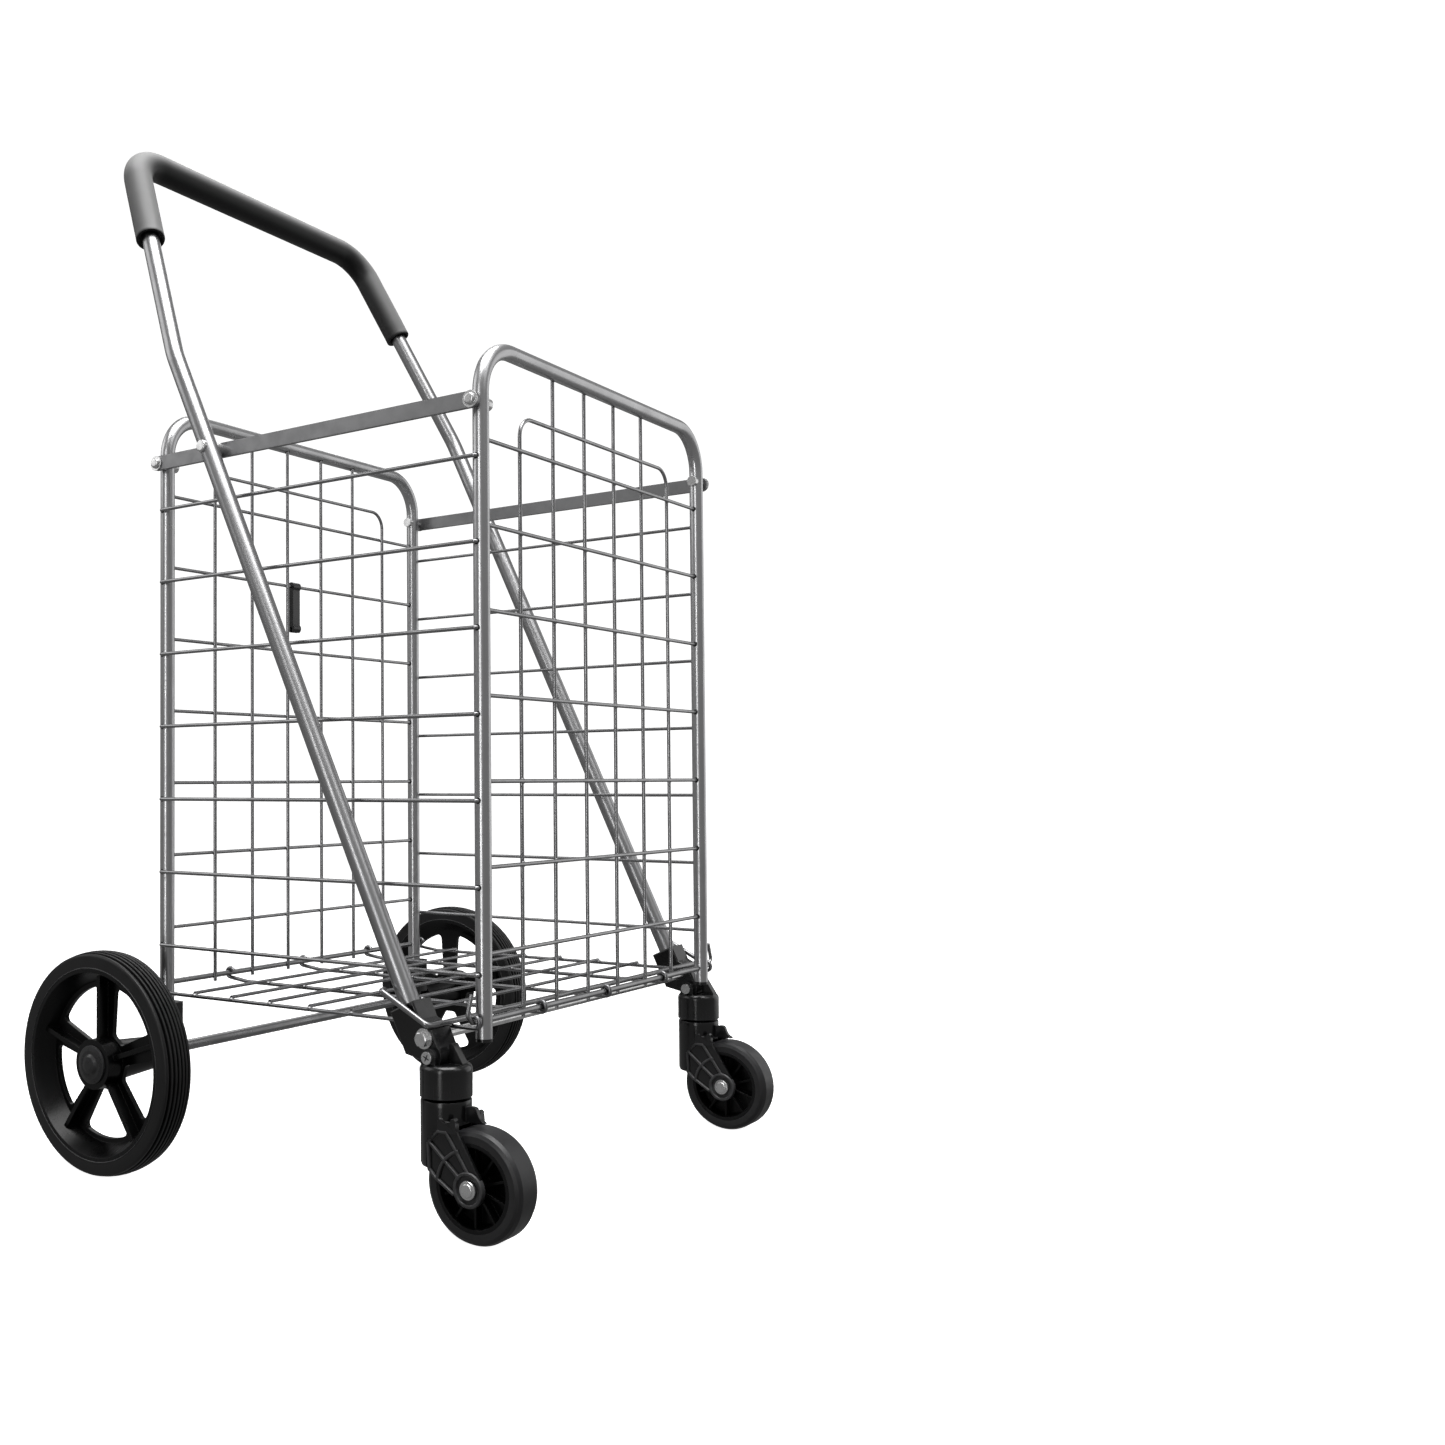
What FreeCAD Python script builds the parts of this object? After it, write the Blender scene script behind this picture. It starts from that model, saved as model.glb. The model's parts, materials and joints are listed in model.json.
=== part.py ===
"""Folding wire shopping cart: hoop frames, wire panels, link bars, U handle, two big wheels, two casters.

The cart is drawn in its own basket frame: x across, y towards the person pushing, z up, with y 0 and z 0 on
the rear bottom rod. It is moved at the end so that the row's origin is on the ground under the middle of the
whole cart. Everything is in millimetres and is drawn standing open.
"""
import FreeCAD as App, Part
import math
import os

# ---- basket: the two hoops and the bars and wires that link them
POST_X = 178.0            # centre plane of the cart to a hoop's post
DEPTH = 345.0             # rear posts to front posts
HOOP_TOP = 508.5          # hoop's top tube above the bottom rods
HOOP_R = 6.35
HOOP_WALL = 1.2
HOOP_BEND = 38.0
FRONT_POST_END = -13.0    # foot of the front posts, below the rods
REAR_POST_END = -46.0     # foot of the rear posts, inside the wheel brackets
WIRE_R = 1.6
TOP_GAP = 73.0            # hoop's top tube to the first horizontal wire
PANEL_PITCH = 64.5        # between the horizontal wires of a panel
PANEL_WIRES = 7
UPRIGHT_PITCH = 49.0      # between the four long upright wires of a panel
LOOP_HALF = 122.0         # half-width of the panel's inverted-U wire
LOOP_DROP = 45.0          # hoop's top to the inverted U
LOOP_BEND = 16.0
WIRE_FOOT = -5.0          # foot of the upright wires
WELD = 0.8                # how far welded wires melt into each other
SIDE_DROP = 14.5          # a side wire below its panel wire
SIDE_GAP = 0.2            # post to side wire
SIDE_BEND = 1.75
PIN_DEPTH = 8.0           # side wire's end inside the post
RUN = 0.05                # radial clearance of a running fit

# ---- bottom rods and floor panel
ROD_R = 2.4
ROD_PIN_R = 1.6           # the rod's thinner ends, outside the posts
REAR_ROD_END = 194.0
HOOK_R = 1.75
HOOK_X = 100.0            # outer hook wires, from the middle one
HOOK_SWEEP = 245.0
EDGE_GAP = 0.55           # side wire to the floor's edge wire
CROSS_R = 1.5
CROSS_FIRST = 48.0        # rear rod to the first cross wire
CROSS_PITCH = 44.4
CROSS_WIRES = 6
FLOOR_WELD = 0.5
KNEE = 22.0               # rear rod to the knee of the floor's long wires
KNEE_DROP = 6.8           # knee below the rods, so that the folded floor clears the rear posts
KNEE_BEND = 20.0

# ---- locking wire, which springs over both handle legs
LOCK_R = 2.2
LOCK_INSET = 20.0         # front rod to the locking wire
LOCK_SIDE = 16.0          # handle leg's centre to the loop's outer side
LOCK_REACH = 44.0
LOCK_RISE = 22.0
LOCK_TIP = 6.0
LOCK_TIP_BACK = 2.4
LOCK_BEND = 5.0
LOCK_TIP_BEND = 2.5

# ---- release stub on the ends of the front rod
STUB_OUT = 6.0
STUB_RISE = 21.0

# ---- top link bars
BAR_DROP = 46.5           # hoop's top to the bars' centreline
BAR_H = 12.7
BAR_T = 3.0
BAR_GAP = 0.45            # side wire to bar
BOLT_R = 2.4
BOLT_WASHER_R = 6.6
BOLT_WASHER_T = 1.0
BOLT_HEAD_R = 4.6
BOLT_HEAD_T = 3.4         # washer and domed head together
BOLT_DOME = 1.8
BOLT_NUT_R = 4.8
NUT_SEAT = 2.0            # nut's depth into the tube's curve

# ---- handle
LEG_PIVOT_Y = -80.0       # handle pivot, in front of the rear posts
LEG_X = 204.0
LEG_R = 7.95
LEG_WALL = 1.2
LEG_TO_ROD = 43.64        # front rod back to a leg's centre, at the rod's height
LEG_FOOT_DROP = 8.76      # foot of the leg tubes below the bottom rods
KINK_UP = 97.0            # pivot to where the legs turn inwards
HANDLE_UP = 338.0         # pivot to the grip's top run
GRIP_HALF = 161.5
KINK_BEND = 90.0
GRIP_BEND = 38.0
GRIP_R = 13.25
GRIP_SIDE = 107.0         # grip's length down each side
RIVET_R = 2.5
RIVET_HEAD_R = 5.2
RIVET_HEAD_T = 2.2
RIVET_SEAT = 3.9          # rivet head's depth, curve of the leg included
RIVET_DOME = 1.4
BUSH_R = 6.0

# ---- leg socket and cross rod
CROSS_ROD_BELOW = 7.0     # foot of the leg tube to the cross rod, along the leg
CROSS_ROD_FWD = 10.5
CROSS_ROD_R = 3.5
HEX_AF = 10.0
HEX_T = 4.4
HEX_CHAMFER = 0.6
WASHER_R = 7.5
WASHER_T = 1.4
SOCKET_HALF = 11.6
SOCKET_UP = 29.0          # cross rod to the socket's mouth
SOCKET_MOUTH = 15.0       # the mouth's straight part
SOCKET_SLOPE = 4.0
SOCKET_FRONT = 3.6        # socket's walls in front of and behind the leg
SOCKET_BACK = 4.0
SOCKET_ROUND = 1.5
KNUCKLE_DOWN = 14.0       # cross rod to the caster's tilt pin
KNUCKLE_R = 9.0
TILT_PIN_R = 3.0
TILT_HEAD_R = 4.6
TILT_HEAD_T = 2.4

# ---- caster
SWIVEL_AHEAD = 4.91       # tilt pin to the swivel axis
CUP_R = 19.5
CUP_TOP = -28.0
CUP_FOOT = -52.0
CUP_DOME = 5.0
POCKET_GAP = 0.4          # knuckle to the cup's pocket
STOP_GAP = 1.2
STOP_HALF = 3.3
STOP_RIB = ((0, -2), (0, 14), (3, 14.5), (12, 1), (12, -4))    # ahead of the knuckle, above the cup
EAR_R = 6.5
EAR_T = 3.5
EAR_GAP = 0.3
SWIVEL_GAP = 0.5
STEM_R = 5.0
STEM_UP = 13.0
STEM_DOWN = 12.0
TRAIL = 32.0
CASTER_R = 41.0
CASTER_W = 26.0
CASTER_RIM_R = 32.0
CASTER_HUB_R = 9.0
FORK_R = 19.0
FORK_GAP = 0.8
FORK_FOOT = -102.0
TYRE_ROOM = 2.5
PLATE_T = 4.6
ARM_DOWN = 8.0            # crown's top to the fork plates
ARM_IN = 4.0
ARM_CUT = 6.0
ARM_SINK = 1.6
HORN = ((-3, 7), (9, 5), (12, 16), (-3, 16))    # ahead of the crown, below its top
HORN_HALF = 6.0
POCKET_IN = 9.0
POCKET_DOWN = 24.0
POCKET_DEEP = 2.0
POCKETS = (               # upper corners from the crown's front, lower ones from the axle
    (((8, 0), (0, 4)), ((6, 19), (12, 16))),
    (((19, 8), (12, 6)), ((15, 12), (18, 7))),
    (((23, 12),), ((20, 3), (17, -2), (45, 10))),
)
BOSS_R = 10.5
CASTER_AXLE_R = 3.0
CASTER_BOLT_R = 5.0
CASTER_BOLT_T = 2.0
CASTER_RIBS = 10
CASTER_RIB_HALF = 0.9
CASTER_RIB_LOW = 4.0      # wheel's side to its ribs
CASTER_WEB_HALF = 1.5
CASTER_RING = 3.0         # rim's ring, with a slope of its own inside it
CASTER_SLOPE = 2.0
CASTER_SHOULDER = ((0, 4), (1.4, 1.4), (4.5, 0))    # in from the tyre's side, below its tread

# ---- rear wheels
AXLE_DROP = -59.0
AXLE_R = 4.75
WHEEL_R = 94.0
WHEEL_OUT = 262.0
WHEEL_W = 28.0
TYRE_T = 14.0             # tyre, from its tread to its seat on the rim
RIM_WALL = 3.0
WINDOW_R = 64.0
SPOKES = 5
HUB_R = 21.0
HUB_IN = 189.0
BARREL_R = 13.5
CAP_R = 16.0
CAP_SEAT = 1.0            # hub's face inside the wheel's outer face
CAP_STEPS = ((0, 0), (0, 1), (1.5, 1), (2.5, 0.75), (2.5, 0.56), (4.4, 0.44), (5.0, 0.25), (5.0, 0))
BARREL_FLARE = 4.0
TREAD_RIBS = 6
TREAD_DEEP = 1.6
TREAD_EDGE = 5.0          # tyre's side to the first tread rib
SHOULDER = 4.0
SHOULDER_STEP = 1.5
SHOULDER_DROP = 0.8
WEB_IN = 8.0              # wheel's inner side to the web
WEB_T = 4.0
DISH = 4.0                # ring that the web is wider than its windows
WINDOW_HUB = 3.0          # hub to the windows
WINDOW_IN = 0.45          # a window's share of its sector, at the hub and at the ring
WINDOW_WIDE = 0.72
WINDOW_ROUND = 4.5
RIB_HALF = 2.0
RIB_LOW = 7.0             # wheel's outer face to a spoke's rib
RIB_PAST = 9.0

# ---- axle brackets
BRACKET_HALF = 10.0
BRACKET_TOP = -17.0
BRACKET_FOOT = -71.0
BRACKET_Y = 11.5
SCREW_R = 2.2
SCREW_HEAD_R = 3.6
SCREW_HEAD_T = 1.8
SCREW_DROP = 14.0         # bracket's top to the screw
SCREW_TIP_GAP = 0.1
BRACKET_ROUND = 3.0
LEDGE_IN = 3.0            # step in the bracket's front: from the inner face, up from the foot, deep, high
LEDGE_UP = 4.0
LEDGE_DEEP = 5.0
LEDGE_H = 16.0

# ---- folding clip on the rear panel
CLIP_WIRE = 1             # index of the rear panel wire that it swings on, from the top
CLIP_REACH = 41.5
CLIP_X = -12.0
CLIP_W = 10.0
CLIP_WALL = 2.6

# ---- sizes worked out from the ones above
GROUND = AXLE_DROP - WHEEL_R
TYRE_SEAT_R = WHEEL_R - TYRE_T
CASTER_AXLE_Z = GROUND + CASTER_R
BAR_Z = HOOP_TOP - BAR_DROP
LOOP_TOP = HOOP_TOP - LOOP_DROP
LEAN = math.atan2(DEPTH + LEG_PIVOT_Y - LEG_TO_ROD, BAR_Z)
LEG_END = (BAR_Z + LEG_FOOT_DROP) / math.cos(LEAN)
CROSS_ROD_AT = LEG_END + CROSS_ROD_BELOW
POST_FACE = POST_X + HOOP_R
SIDE_X = POST_FACE + SIDE_GAP + WIRE_R
BAR_IN = SIDE_X + WIRE_R + BAR_GAP
BAR_OUT = BAR_IN + BAR_T
EDGE_X = SIDE_X + WIRE_R + EDGE_GAP + WIRE_R
HOOK_DROP = ROD_R + RUN + HOOK_R
UPRIGHT_OFF = 2 * WIRE_R - WELD
TOP_WIRE = HOOP_TOP - TOP_GAP
AXIS_X = App.Vector(1, 0, 0)
AXIS_Z = App.Vector(0, 0, 1)
LEG_UP = App.Vector(0, math.sin(LEAN), math.cos(LEAN))
LEG_FWD = App.Vector(0, -math.cos(LEAN), math.sin(LEAN))
NEAR = 0.01               # closer than this counts as the same place
SIDES = (("right", -1), ("left", 1))
NODES = {}


# ---- helpers
def at(x, y, z):
    """A point in the basket frame."""
    return App.Vector(x, y, z)


def rod(start, end, radius):
    """A round bar between two points."""
    run = end.sub(start)
    return Part.makeCylinder(radius, run.Length, start, run)


def bent_path(points, bend):
    """A wire of straight runs through the points, joined by tangent arcs of one radius."""
    edges = []
    last = points[0]
    for before, corner, after in zip(points, points[1:], points[2:]):
        back = before.sub(corner).normalize()
        ahead = after.sub(corner).normalize()
        half = back.getAngle(ahead) / 2.0
        trim = bend / math.tan(half)
        start = corner.add(back * trim)
        end = corner.add(ahead * trim)
        middle_line = back.add(ahead).normalize()
        centre = corner.add(middle_line * (bend / math.sin(half)))
        middle = centre.sub(middle_line * bend)
        edges.append(Part.LineSegment(last, start).toShape())
        edges.append(Part.Arc(start, middle, end).toShape())
        last = end
    edges.append(Part.LineSegment(last, points[-1]).toShape())
    return Part.Wire(edges)


def varied_path(points, bends):
    """Straight runs through the points, with a radius for each inner point."""
    edges = []
    last = points[0]
    for before, corner, after, bend in zip(points, points[1:], points[2:], bends):
        piece = bent_path([last, corner, after], bend)
        edges += piece.OrderedEdges[:2]
        last = piece.OrderedEdges[1].valueAt(piece.OrderedEdges[1].LastParameter)
    edges.append(Part.LineSegment(last, points[-1]).toShape())
    return Part.Wire(edges)


def sweep(path, radius):
    """A round bar along a path."""
    first = path.OrderedEdges[0]
    start = first.valueAt(first.FirstParameter)
    ahead = first.tangentAt(first.FirstParameter)
    ring = Part.Wire([Part.makeCircle(radius, start, ahead)])
    return Part.Solid(path.makePipeShell([ring], True, False))


def bent_rod(points, bend, radius):
    """A round bar bent through the points."""
    return sweep(bent_path(points, bend), radius)


def prism(outline, low_x, high_x):
    """A flat outline of (y, z) pairs, pushed along x."""
    points = [at(low_x, y, z) for y, z in outline]
    face = Part.Face(Part.makePolygon(points + points[:1]))
    return face.extrude(AXIS_X * (high_x - low_x))


def block(low, high):
    """A box between two corners."""
    size = high.sub(low)
    return Part.makeBox(size.x, size.y, size.z, low)


def disc(radius, low_x, high_x, y, z):
    """A round bar or disc across the cart."""
    return rod(at(low_x, y, z), at(high_x, y, z), radius)


def turned(profile, y, z):
    """A closed outline of (x, radius) pairs, turned about the line across the cart at y, z."""
    points = [at(x, y, z + radius) for x, radius in profile]
    face = Part.Face(Part.makePolygon(points + points[:1]))
    return face.revolve(at(0, y, z), AXIS_X, 360)


def mirrored(shape):
    """The same shape on the other side of the cart."""
    return shape.mirror(at(0, 0, 0), AXIS_X)


def edges_at_x(shape, x):
    """The edges of a shape that lie in the plane of one x."""
    found = []
    for edge in shape.Edges:
        box = edge.BoundBox
        if abs(box.XMin - x) < NEAR and abs(box.XMax - x) < NEAR:
            found.append(edge)
    return found


def edges_along(shape, axis):
    """The straight edges of a shape that run along an axis."""
    return [edge for edge in shape.Edges if abs(edge.tangentAt(edge.FirstParameter).dot(axis)) > 1.0 - NEAR]


def on_side(shape, side):
    """A shape drawn on the +x side, put on the asked side."""
    return shape if side > 0 else mirrored(shape)


def one(shapes):
    """The shapes joined into one solid."""
    return shapes[0].multiFuse(shapes[1:]).removeSplitter()


def along_leg(x, up, forward=0.0):
    """A point measured up and in front of the handle leg, from the handle pivot."""
    return at(x, LEG_PIVOT_Y, BAR_Z).add(LEG_UP * up).add(LEG_FWD * forward)


def keep(name, shape):
    """Add a sub-part."""
    NODES[name] = shape


CROSS_ROD = along_leg(0, -CROSS_ROD_AT, CROSS_ROD_FWD)
KNUCKLE = along_leg(0, -CROSS_ROD_AT - KNUCKLE_DOWN, CROSS_ROD_FWD)
SWIVEL_Y = KNUCKLE.y - SWIVEL_AHEAD
CASTER_AXLE_Y = SWIVEL_Y - TRAIL
CENTRE_Y = ((CASTER_AXLE_Y - CASTER_R) + WHEEL_R) / 2.0


# ---- hoops, panels and rods
def hoop_path(y, foot):
    """Centreline of a hoop that stands at y."""
    corners = [at(-POST_X, y, foot), at(-POST_X, y, HOOP_TOP), at(POST_X, y, HOOP_TOP), at(POST_X, y, foot)]
    return bent_path(corners, HOOP_BEND)


def side_levels():
    """Heights of the side wires."""
    return [TOP_WIRE - SIDE_DROP - step * PANEL_PITCH for step in range(PANEL_WIRES)]


def hoop(y, foot, rod_shape):
    """A bent tube with its holes for the bar bolts, the side wires and the bottom rod."""
    path = hoop_path(y, foot)
    tube = sweep(path, HOOP_R).cut(sweep(path, HOOP_R - HOOP_WALL))
    holes = [rod_shape]
    for side in (-1, 1):
        inner = side * (POST_X - 2 * HOOP_R)
        outer = side * (POST_X + 2 * HOOP_R)
        holes.append(disc(BOLT_R, inner, outer, y, BAR_Z))
        for level in side_levels():
            holes.append(disc(WIRE_R + RUN, side * POST_X, outer, y, level))
    return tube.cut(Part.makeCompound(holes))


def panel(y, inward, foot):
    """A welded wire panel: horizontals in the hoop's plane, uprights and an inverted U on the inner side."""
    wires = []
    for step in range(PANEL_WIRES):
        z = TOP_WIRE - step * PANEL_PITCH
        wires.append(disc(WIRE_R, -POST_X, POST_X, y, z))
    upright_y = y + inward * UPRIGHT_OFF
    for place in (-1.5, -0.5, 0.5, 1.5):
        x = place * UPRIGHT_PITCH
        wires.append(rod(at(x, upright_y, WIRE_FOOT), at(x, upright_y, HOOP_TOP), WIRE_R))
    loop = [at(-LOOP_HALF, upright_y, WIRE_FOOT), at(-LOOP_HALF, upright_y, LOOP_TOP)]
    loop += [at(LOOP_HALF, upright_y, LOOP_TOP), at(LOOP_HALF, upright_y, WIRE_FOOT)]
    wires.append(bent_rod(loop, LOOP_BEND, WIRE_R))
    welded = one(wires)
    seat = [sweep(hoop_path(y, foot), HOOP_R), disc(ROD_R, -POST_X, POST_X, y, 0)]
    return welded.cut(Part.makeCompound(seat))


def rear_rod():
    """The rear bottom rod, with thin ends through the posts for the floor's edge eyes."""
    middle = disc(ROD_R, -POST_X, POST_X, 0, 0)
    pins = [disc(ROD_PIN_R, side * POST_X, side * REAR_ROD_END, 0, 0) for side in (-1, 1)]
    return one([middle] + pins)


def front_rod():
    """The front bottom rod, whose thin ends turn out and up into release stubs."""
    pieces = [disc(ROD_R, -POST_X, POST_X, -DEPTH, 0)]
    turn = EDGE_X + 2 * WIRE_R
    for side in (-1, 1):
        route = [at(side * POST_X, -DEPTH, 0), at(side * turn, -DEPTH, 0)]
        route.append(at(side * (turn + STUB_OUT), -DEPTH, STUB_OUT))
        route.append(at(side * (turn + 0.5), -DEPTH, STUB_RISE))
        pieces.append(bent_rod(route, 2 * ROD_PIN_R, ROD_PIN_R))
    return one(pieces)


def bar_bolts(y):
    """The two pivot bolts that join the top bars to one hoop, each with its nut inside the basket."""
    bolts = []
    for side in (-1, 1):
        nut_in = POST_X - HOOP_R - BOLT_HEAD_T
        shank = disc(BOLT_R, nut_in, BAR_OUT + BOLT_WASHER_T, y, BAR_Z)
        washer = disc(BOLT_WASHER_R, BAR_OUT + RUN, BAR_OUT + BOLT_WASHER_T, y, BAR_Z)
        head = disc(BOLT_HEAD_R, BAR_OUT + BOLT_WASHER_T, BAR_OUT + BOLT_HEAD_T, y, BAR_Z)
        head = head.makeFillet(BOLT_DOME, edges_at_x(head, BAR_OUT + BOLT_HEAD_T))
        nut = disc(BOLT_NUT_R, nut_in, POST_X - HOOP_R + NUT_SEAT, y, BAR_Z)
        nut = nut.cut(sweep(hoop_path(y, 0), HOOP_R))
        bolts.append(on_side(one([shank, washer, head, nut]), side))
    return Part.makeCompound(bolts)


def front_plugs():
    """Black plugs in the feet of the front posts."""
    plugs = []
    for side in (-1, 1):
        x = side * POST_X
        stem = rod(at(x, -DEPTH, FRONT_POST_END), at(x, -DEPTH, FRONT_POST_END + 6), HOOP_R - HOOP_WALL)
        cap = rod(at(x, -DEPTH, FRONT_POST_END - 2.5), at(x, -DEPTH, FRONT_POST_END), HOOP_R - 0.2)
        plugs.append(one([stem, cap]))
    return Part.makeCompound(plugs)


def side_wire(level):
    """A side wire of the +x side, whose bent ends turn in the posts' holes."""
    inside = POST_FACE - PIN_DEPTH
    corners = ((inside, 0), (SIDE_X, 0), (SIDE_X, -DEPTH), (inside, -DEPTH))
    route = [at(x, y, level) for x, y in corners]
    return bent_rod(route, SIDE_BEND, WIRE_R)


def top_bar():
    """The flat bar of the +x side, rounded at both ends and bored for its three pivots."""
    half = BAR_H / 2.0
    shape = block(at(BAR_IN, -DEPTH, BAR_Z - half), at(BAR_OUT, 0, BAR_Z + half))
    ends = [disc(half, BAR_IN, BAR_OUT, y, BAR_Z) for y in (0, -DEPTH)]
    shape = one([shape] + ends)
    holes = [disc(BOLT_R + RUN, BAR_IN, BAR_OUT, y, BAR_Z) for y in (0, -DEPTH)]
    holes.append(disc(RIVET_R + RUN, BAR_IN, BAR_OUT, LEG_PIVOT_Y, BAR_Z))
    return shape.cut(Part.makeCompound(holes))


# ---- floor
def tangent_angle(centre_y, point, way):
    """Angle on a hook's circle, from the way the hook faces, where a line from the point touches it."""
    ahead = way * (point.y - centre_y)
    reach = math.hypot(ahead, point.z)
    return math.degrees(math.atan2(point.z, ahead) + math.acos(HOOK_DROP / reach))


def hook_arc(x, centre_y, point, way):
    """Start, middle and end of a hook's arc, from the touch point round under the rod and up over it."""
    start = tangent_angle(centre_y, point, way)
    angles = [math.radians(start + HOOK_SWEEP * share) for share in (0, 0.5, 1)]
    return [at(x, centre_y + way * HOOK_DROP * math.cos(a), HOOK_DROP * math.sin(a)) for a in angles]


def hook_wire(x):
    """A floor wire along the cart that hooks up and over both bottom rods, with a knee near the rear one."""
    knee = at(x, -KNEE, -KNEE_DROP)
    rear = hook_arc(x, 0.0, knee, 1)
    front = hook_arc(x, -DEPTH, knee, -1)
    runs = bent_path([rear[0], knee, front[0]], KNEE_BEND).OrderedEdges
    edges = [Part.Arc(rear[2], rear[1], rear[0]).toShape()] + runs
    edges.append(Part.Arc(front[0], front[1], front[2]).toShape())
    return sweep(Part.Wire(edges), HOOK_R if abs(x) < EDGE_X else WIRE_R)


def floor_drop(y):
    """How far the floor's long wires lie below the rods, in front of the knee."""
    share = (-KNEE - y) / (DEPTH - KNEE)
    return KNEE_DROP + (HOOK_DROP - KNEE_DROP) * share


def floor_grid():
    """The floor: hook wires over both rods, edge wires on the rods' ends, and cross wires on top."""
    wires = [hook_wire(x) for x in (-HOOK_X, 0.0, HOOK_X, -EDGE_X, EDGE_X)]
    for step in range(CROSS_WIRES):
        y = -CROSS_FIRST - step * CROSS_PITCH
        drop = floor_drop(y) - (HOOK_R + CROSS_R - FLOOR_WELD)
        wires.append(disc(CROSS_R, -EDGE_X, EDGE_X, y, -drop))
    return one(wires)


def lock_wire():
    """The springy wire across the floor whose two loops snap round the handle legs."""
    y = -DEPTH + LOCK_INSET
    z = HOOK_R + LOCK_R - floor_drop(y)
    x = LEG_X + LOCK_SIDE
    back = at(x, y + LOCK_REACH, z + LOCK_RISE)
    tip = back.add(at(-LOCK_TIP, LOCK_TIP_BACK, 0))
    path = varied_path([at(0, y, z), at(x, y, z), back, tip], (LOCK_BEND, LOCK_TIP_BEND))
    arm = sweep(path, LOCK_R)
    return one([arm, mirrored(arm)])


# ---- axle, brackets and rear wheels
def axle():
    """The rear axle rod."""
    end = WHEEL_OUT - 4.0
    return disc(AXLE_R, -end, end, 0, AXLE_DROP)


def bracket():
    """The moulded bracket of the +x side: a socket for the post's foot over a bearing for the axle."""
    low = at(POST_X - BRACKET_HALF, -BRACKET_Y, BRACKET_FOOT)
    high = at(POST_X + BRACKET_HALF, BRACKET_Y, BRACKET_TOP)
    body = block(low, high)
    body = body.makeFillet(BRACKET_ROUND, edges_along(body, AXIS_Z))
    foot = at(low.x + LEDGE_IN, low.y, low.z + LEDGE_UP)
    ledge = block(foot, at(high.x, low.y + LEDGE_DEEP, foot.z + LEDGE_H))
    post = rod(at(POST_X, 0, REAR_POST_END), at(POST_X, 0, BRACKET_TOP), HOOP_R)
    screw_z = BRACKET_TOP - SCREW_DROP
    screw = rod(at(POST_X, low.y, screw_z), at(POST_X, 0, screw_z), SCREW_R)
    bore = disc(AXLE_R, low.x, high.x, 0, AXLE_DROP)
    return body.cut(Part.makeCompound([ledge, post, bore, screw]))


def bracket_screws():
    """The screws that hold the brackets on the posts."""
    screws = []
    z = BRACKET_TOP - SCREW_DROP
    for side in (-1, 1):
        x = side * POST_X
        shank = rod(at(x, -BRACKET_Y, z), at(x, -HOOP_R - SCREW_TIP_GAP, z), SCREW_R)
        head = rod(at(x, -BRACKET_Y - SCREW_HEAD_T, z), at(x, -BRACKET_Y, z), SCREW_HEAD_R)
        screws.append(one([shank, head]))
    return Part.makeCompound(screws)


def rear_tyre():
    """The grooved tyre of the +x rear wheel."""
    low = WHEEL_OUT - WHEEL_W
    tread = (WHEEL_W - 2 * TREAD_EDGE) / (2 * TREAD_RIBS - 1)
    curve = [(0, TYRE_SEAT_R), (0, WHEEL_R - SHOULDER)]
    curve.append((TREAD_EDGE - SHOULDER_STEP, WHEEL_R - SHOULDER_DROP))
    outline = [(low + width, radius) for width, radius in curve]
    for rib in range(TREAD_RIBS):
        start = low + TREAD_EDGE + 2 * rib * tread
        outline += [(start, WHEEL_R), (start + tread, WHEEL_R)]
        if rib < TREAD_RIBS - 1:
            outline += [(start + tread, WHEEL_R - TREAD_DEEP), (start + 2 * tread, WHEEL_R - TREAD_DEEP)]
    outline += [(WHEEL_OUT - width, radius) for width, radius in reversed(curve)]
    return turned(outline, 0, AXLE_DROP)


def rim_window(low, middle):
    """A window between two spokes, centred on an angle, with rounded corners."""
    half = math.radians(180.0 / SPOKES)
    points = []
    for radius, share in ((HUB_R + WINDOW_HUB, WINDOW_IN), (WINDOW_R, WINDOW_WIDE), (WINDOW_R, -WINDOW_WIDE),
                          (HUB_R + WINDOW_HUB, -WINDOW_IN), (WINDOW_R, 0.0)):
        turn = middle + half * share
        points.append(at(low, radius * math.cos(turn), AXLE_DROP + radius * math.sin(turn)))
    edges = [Part.LineSegment(points[0], points[1]).toShape()]
    edges.append(Part.Arc(points[1], points[4], points[2]).toShape())
    edges.append(Part.LineSegment(points[2], points[3]).toShape())
    edges.append(Part.LineSegment(points[3], points[0]).toShape())
    hole = Part.Face(Part.Wire(edges)).extrude(AXIS_X * WHEEL_W)
    return hole.makeFillet(WINDOW_ROUND, edges_along(hole, AXIS_X))


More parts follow.
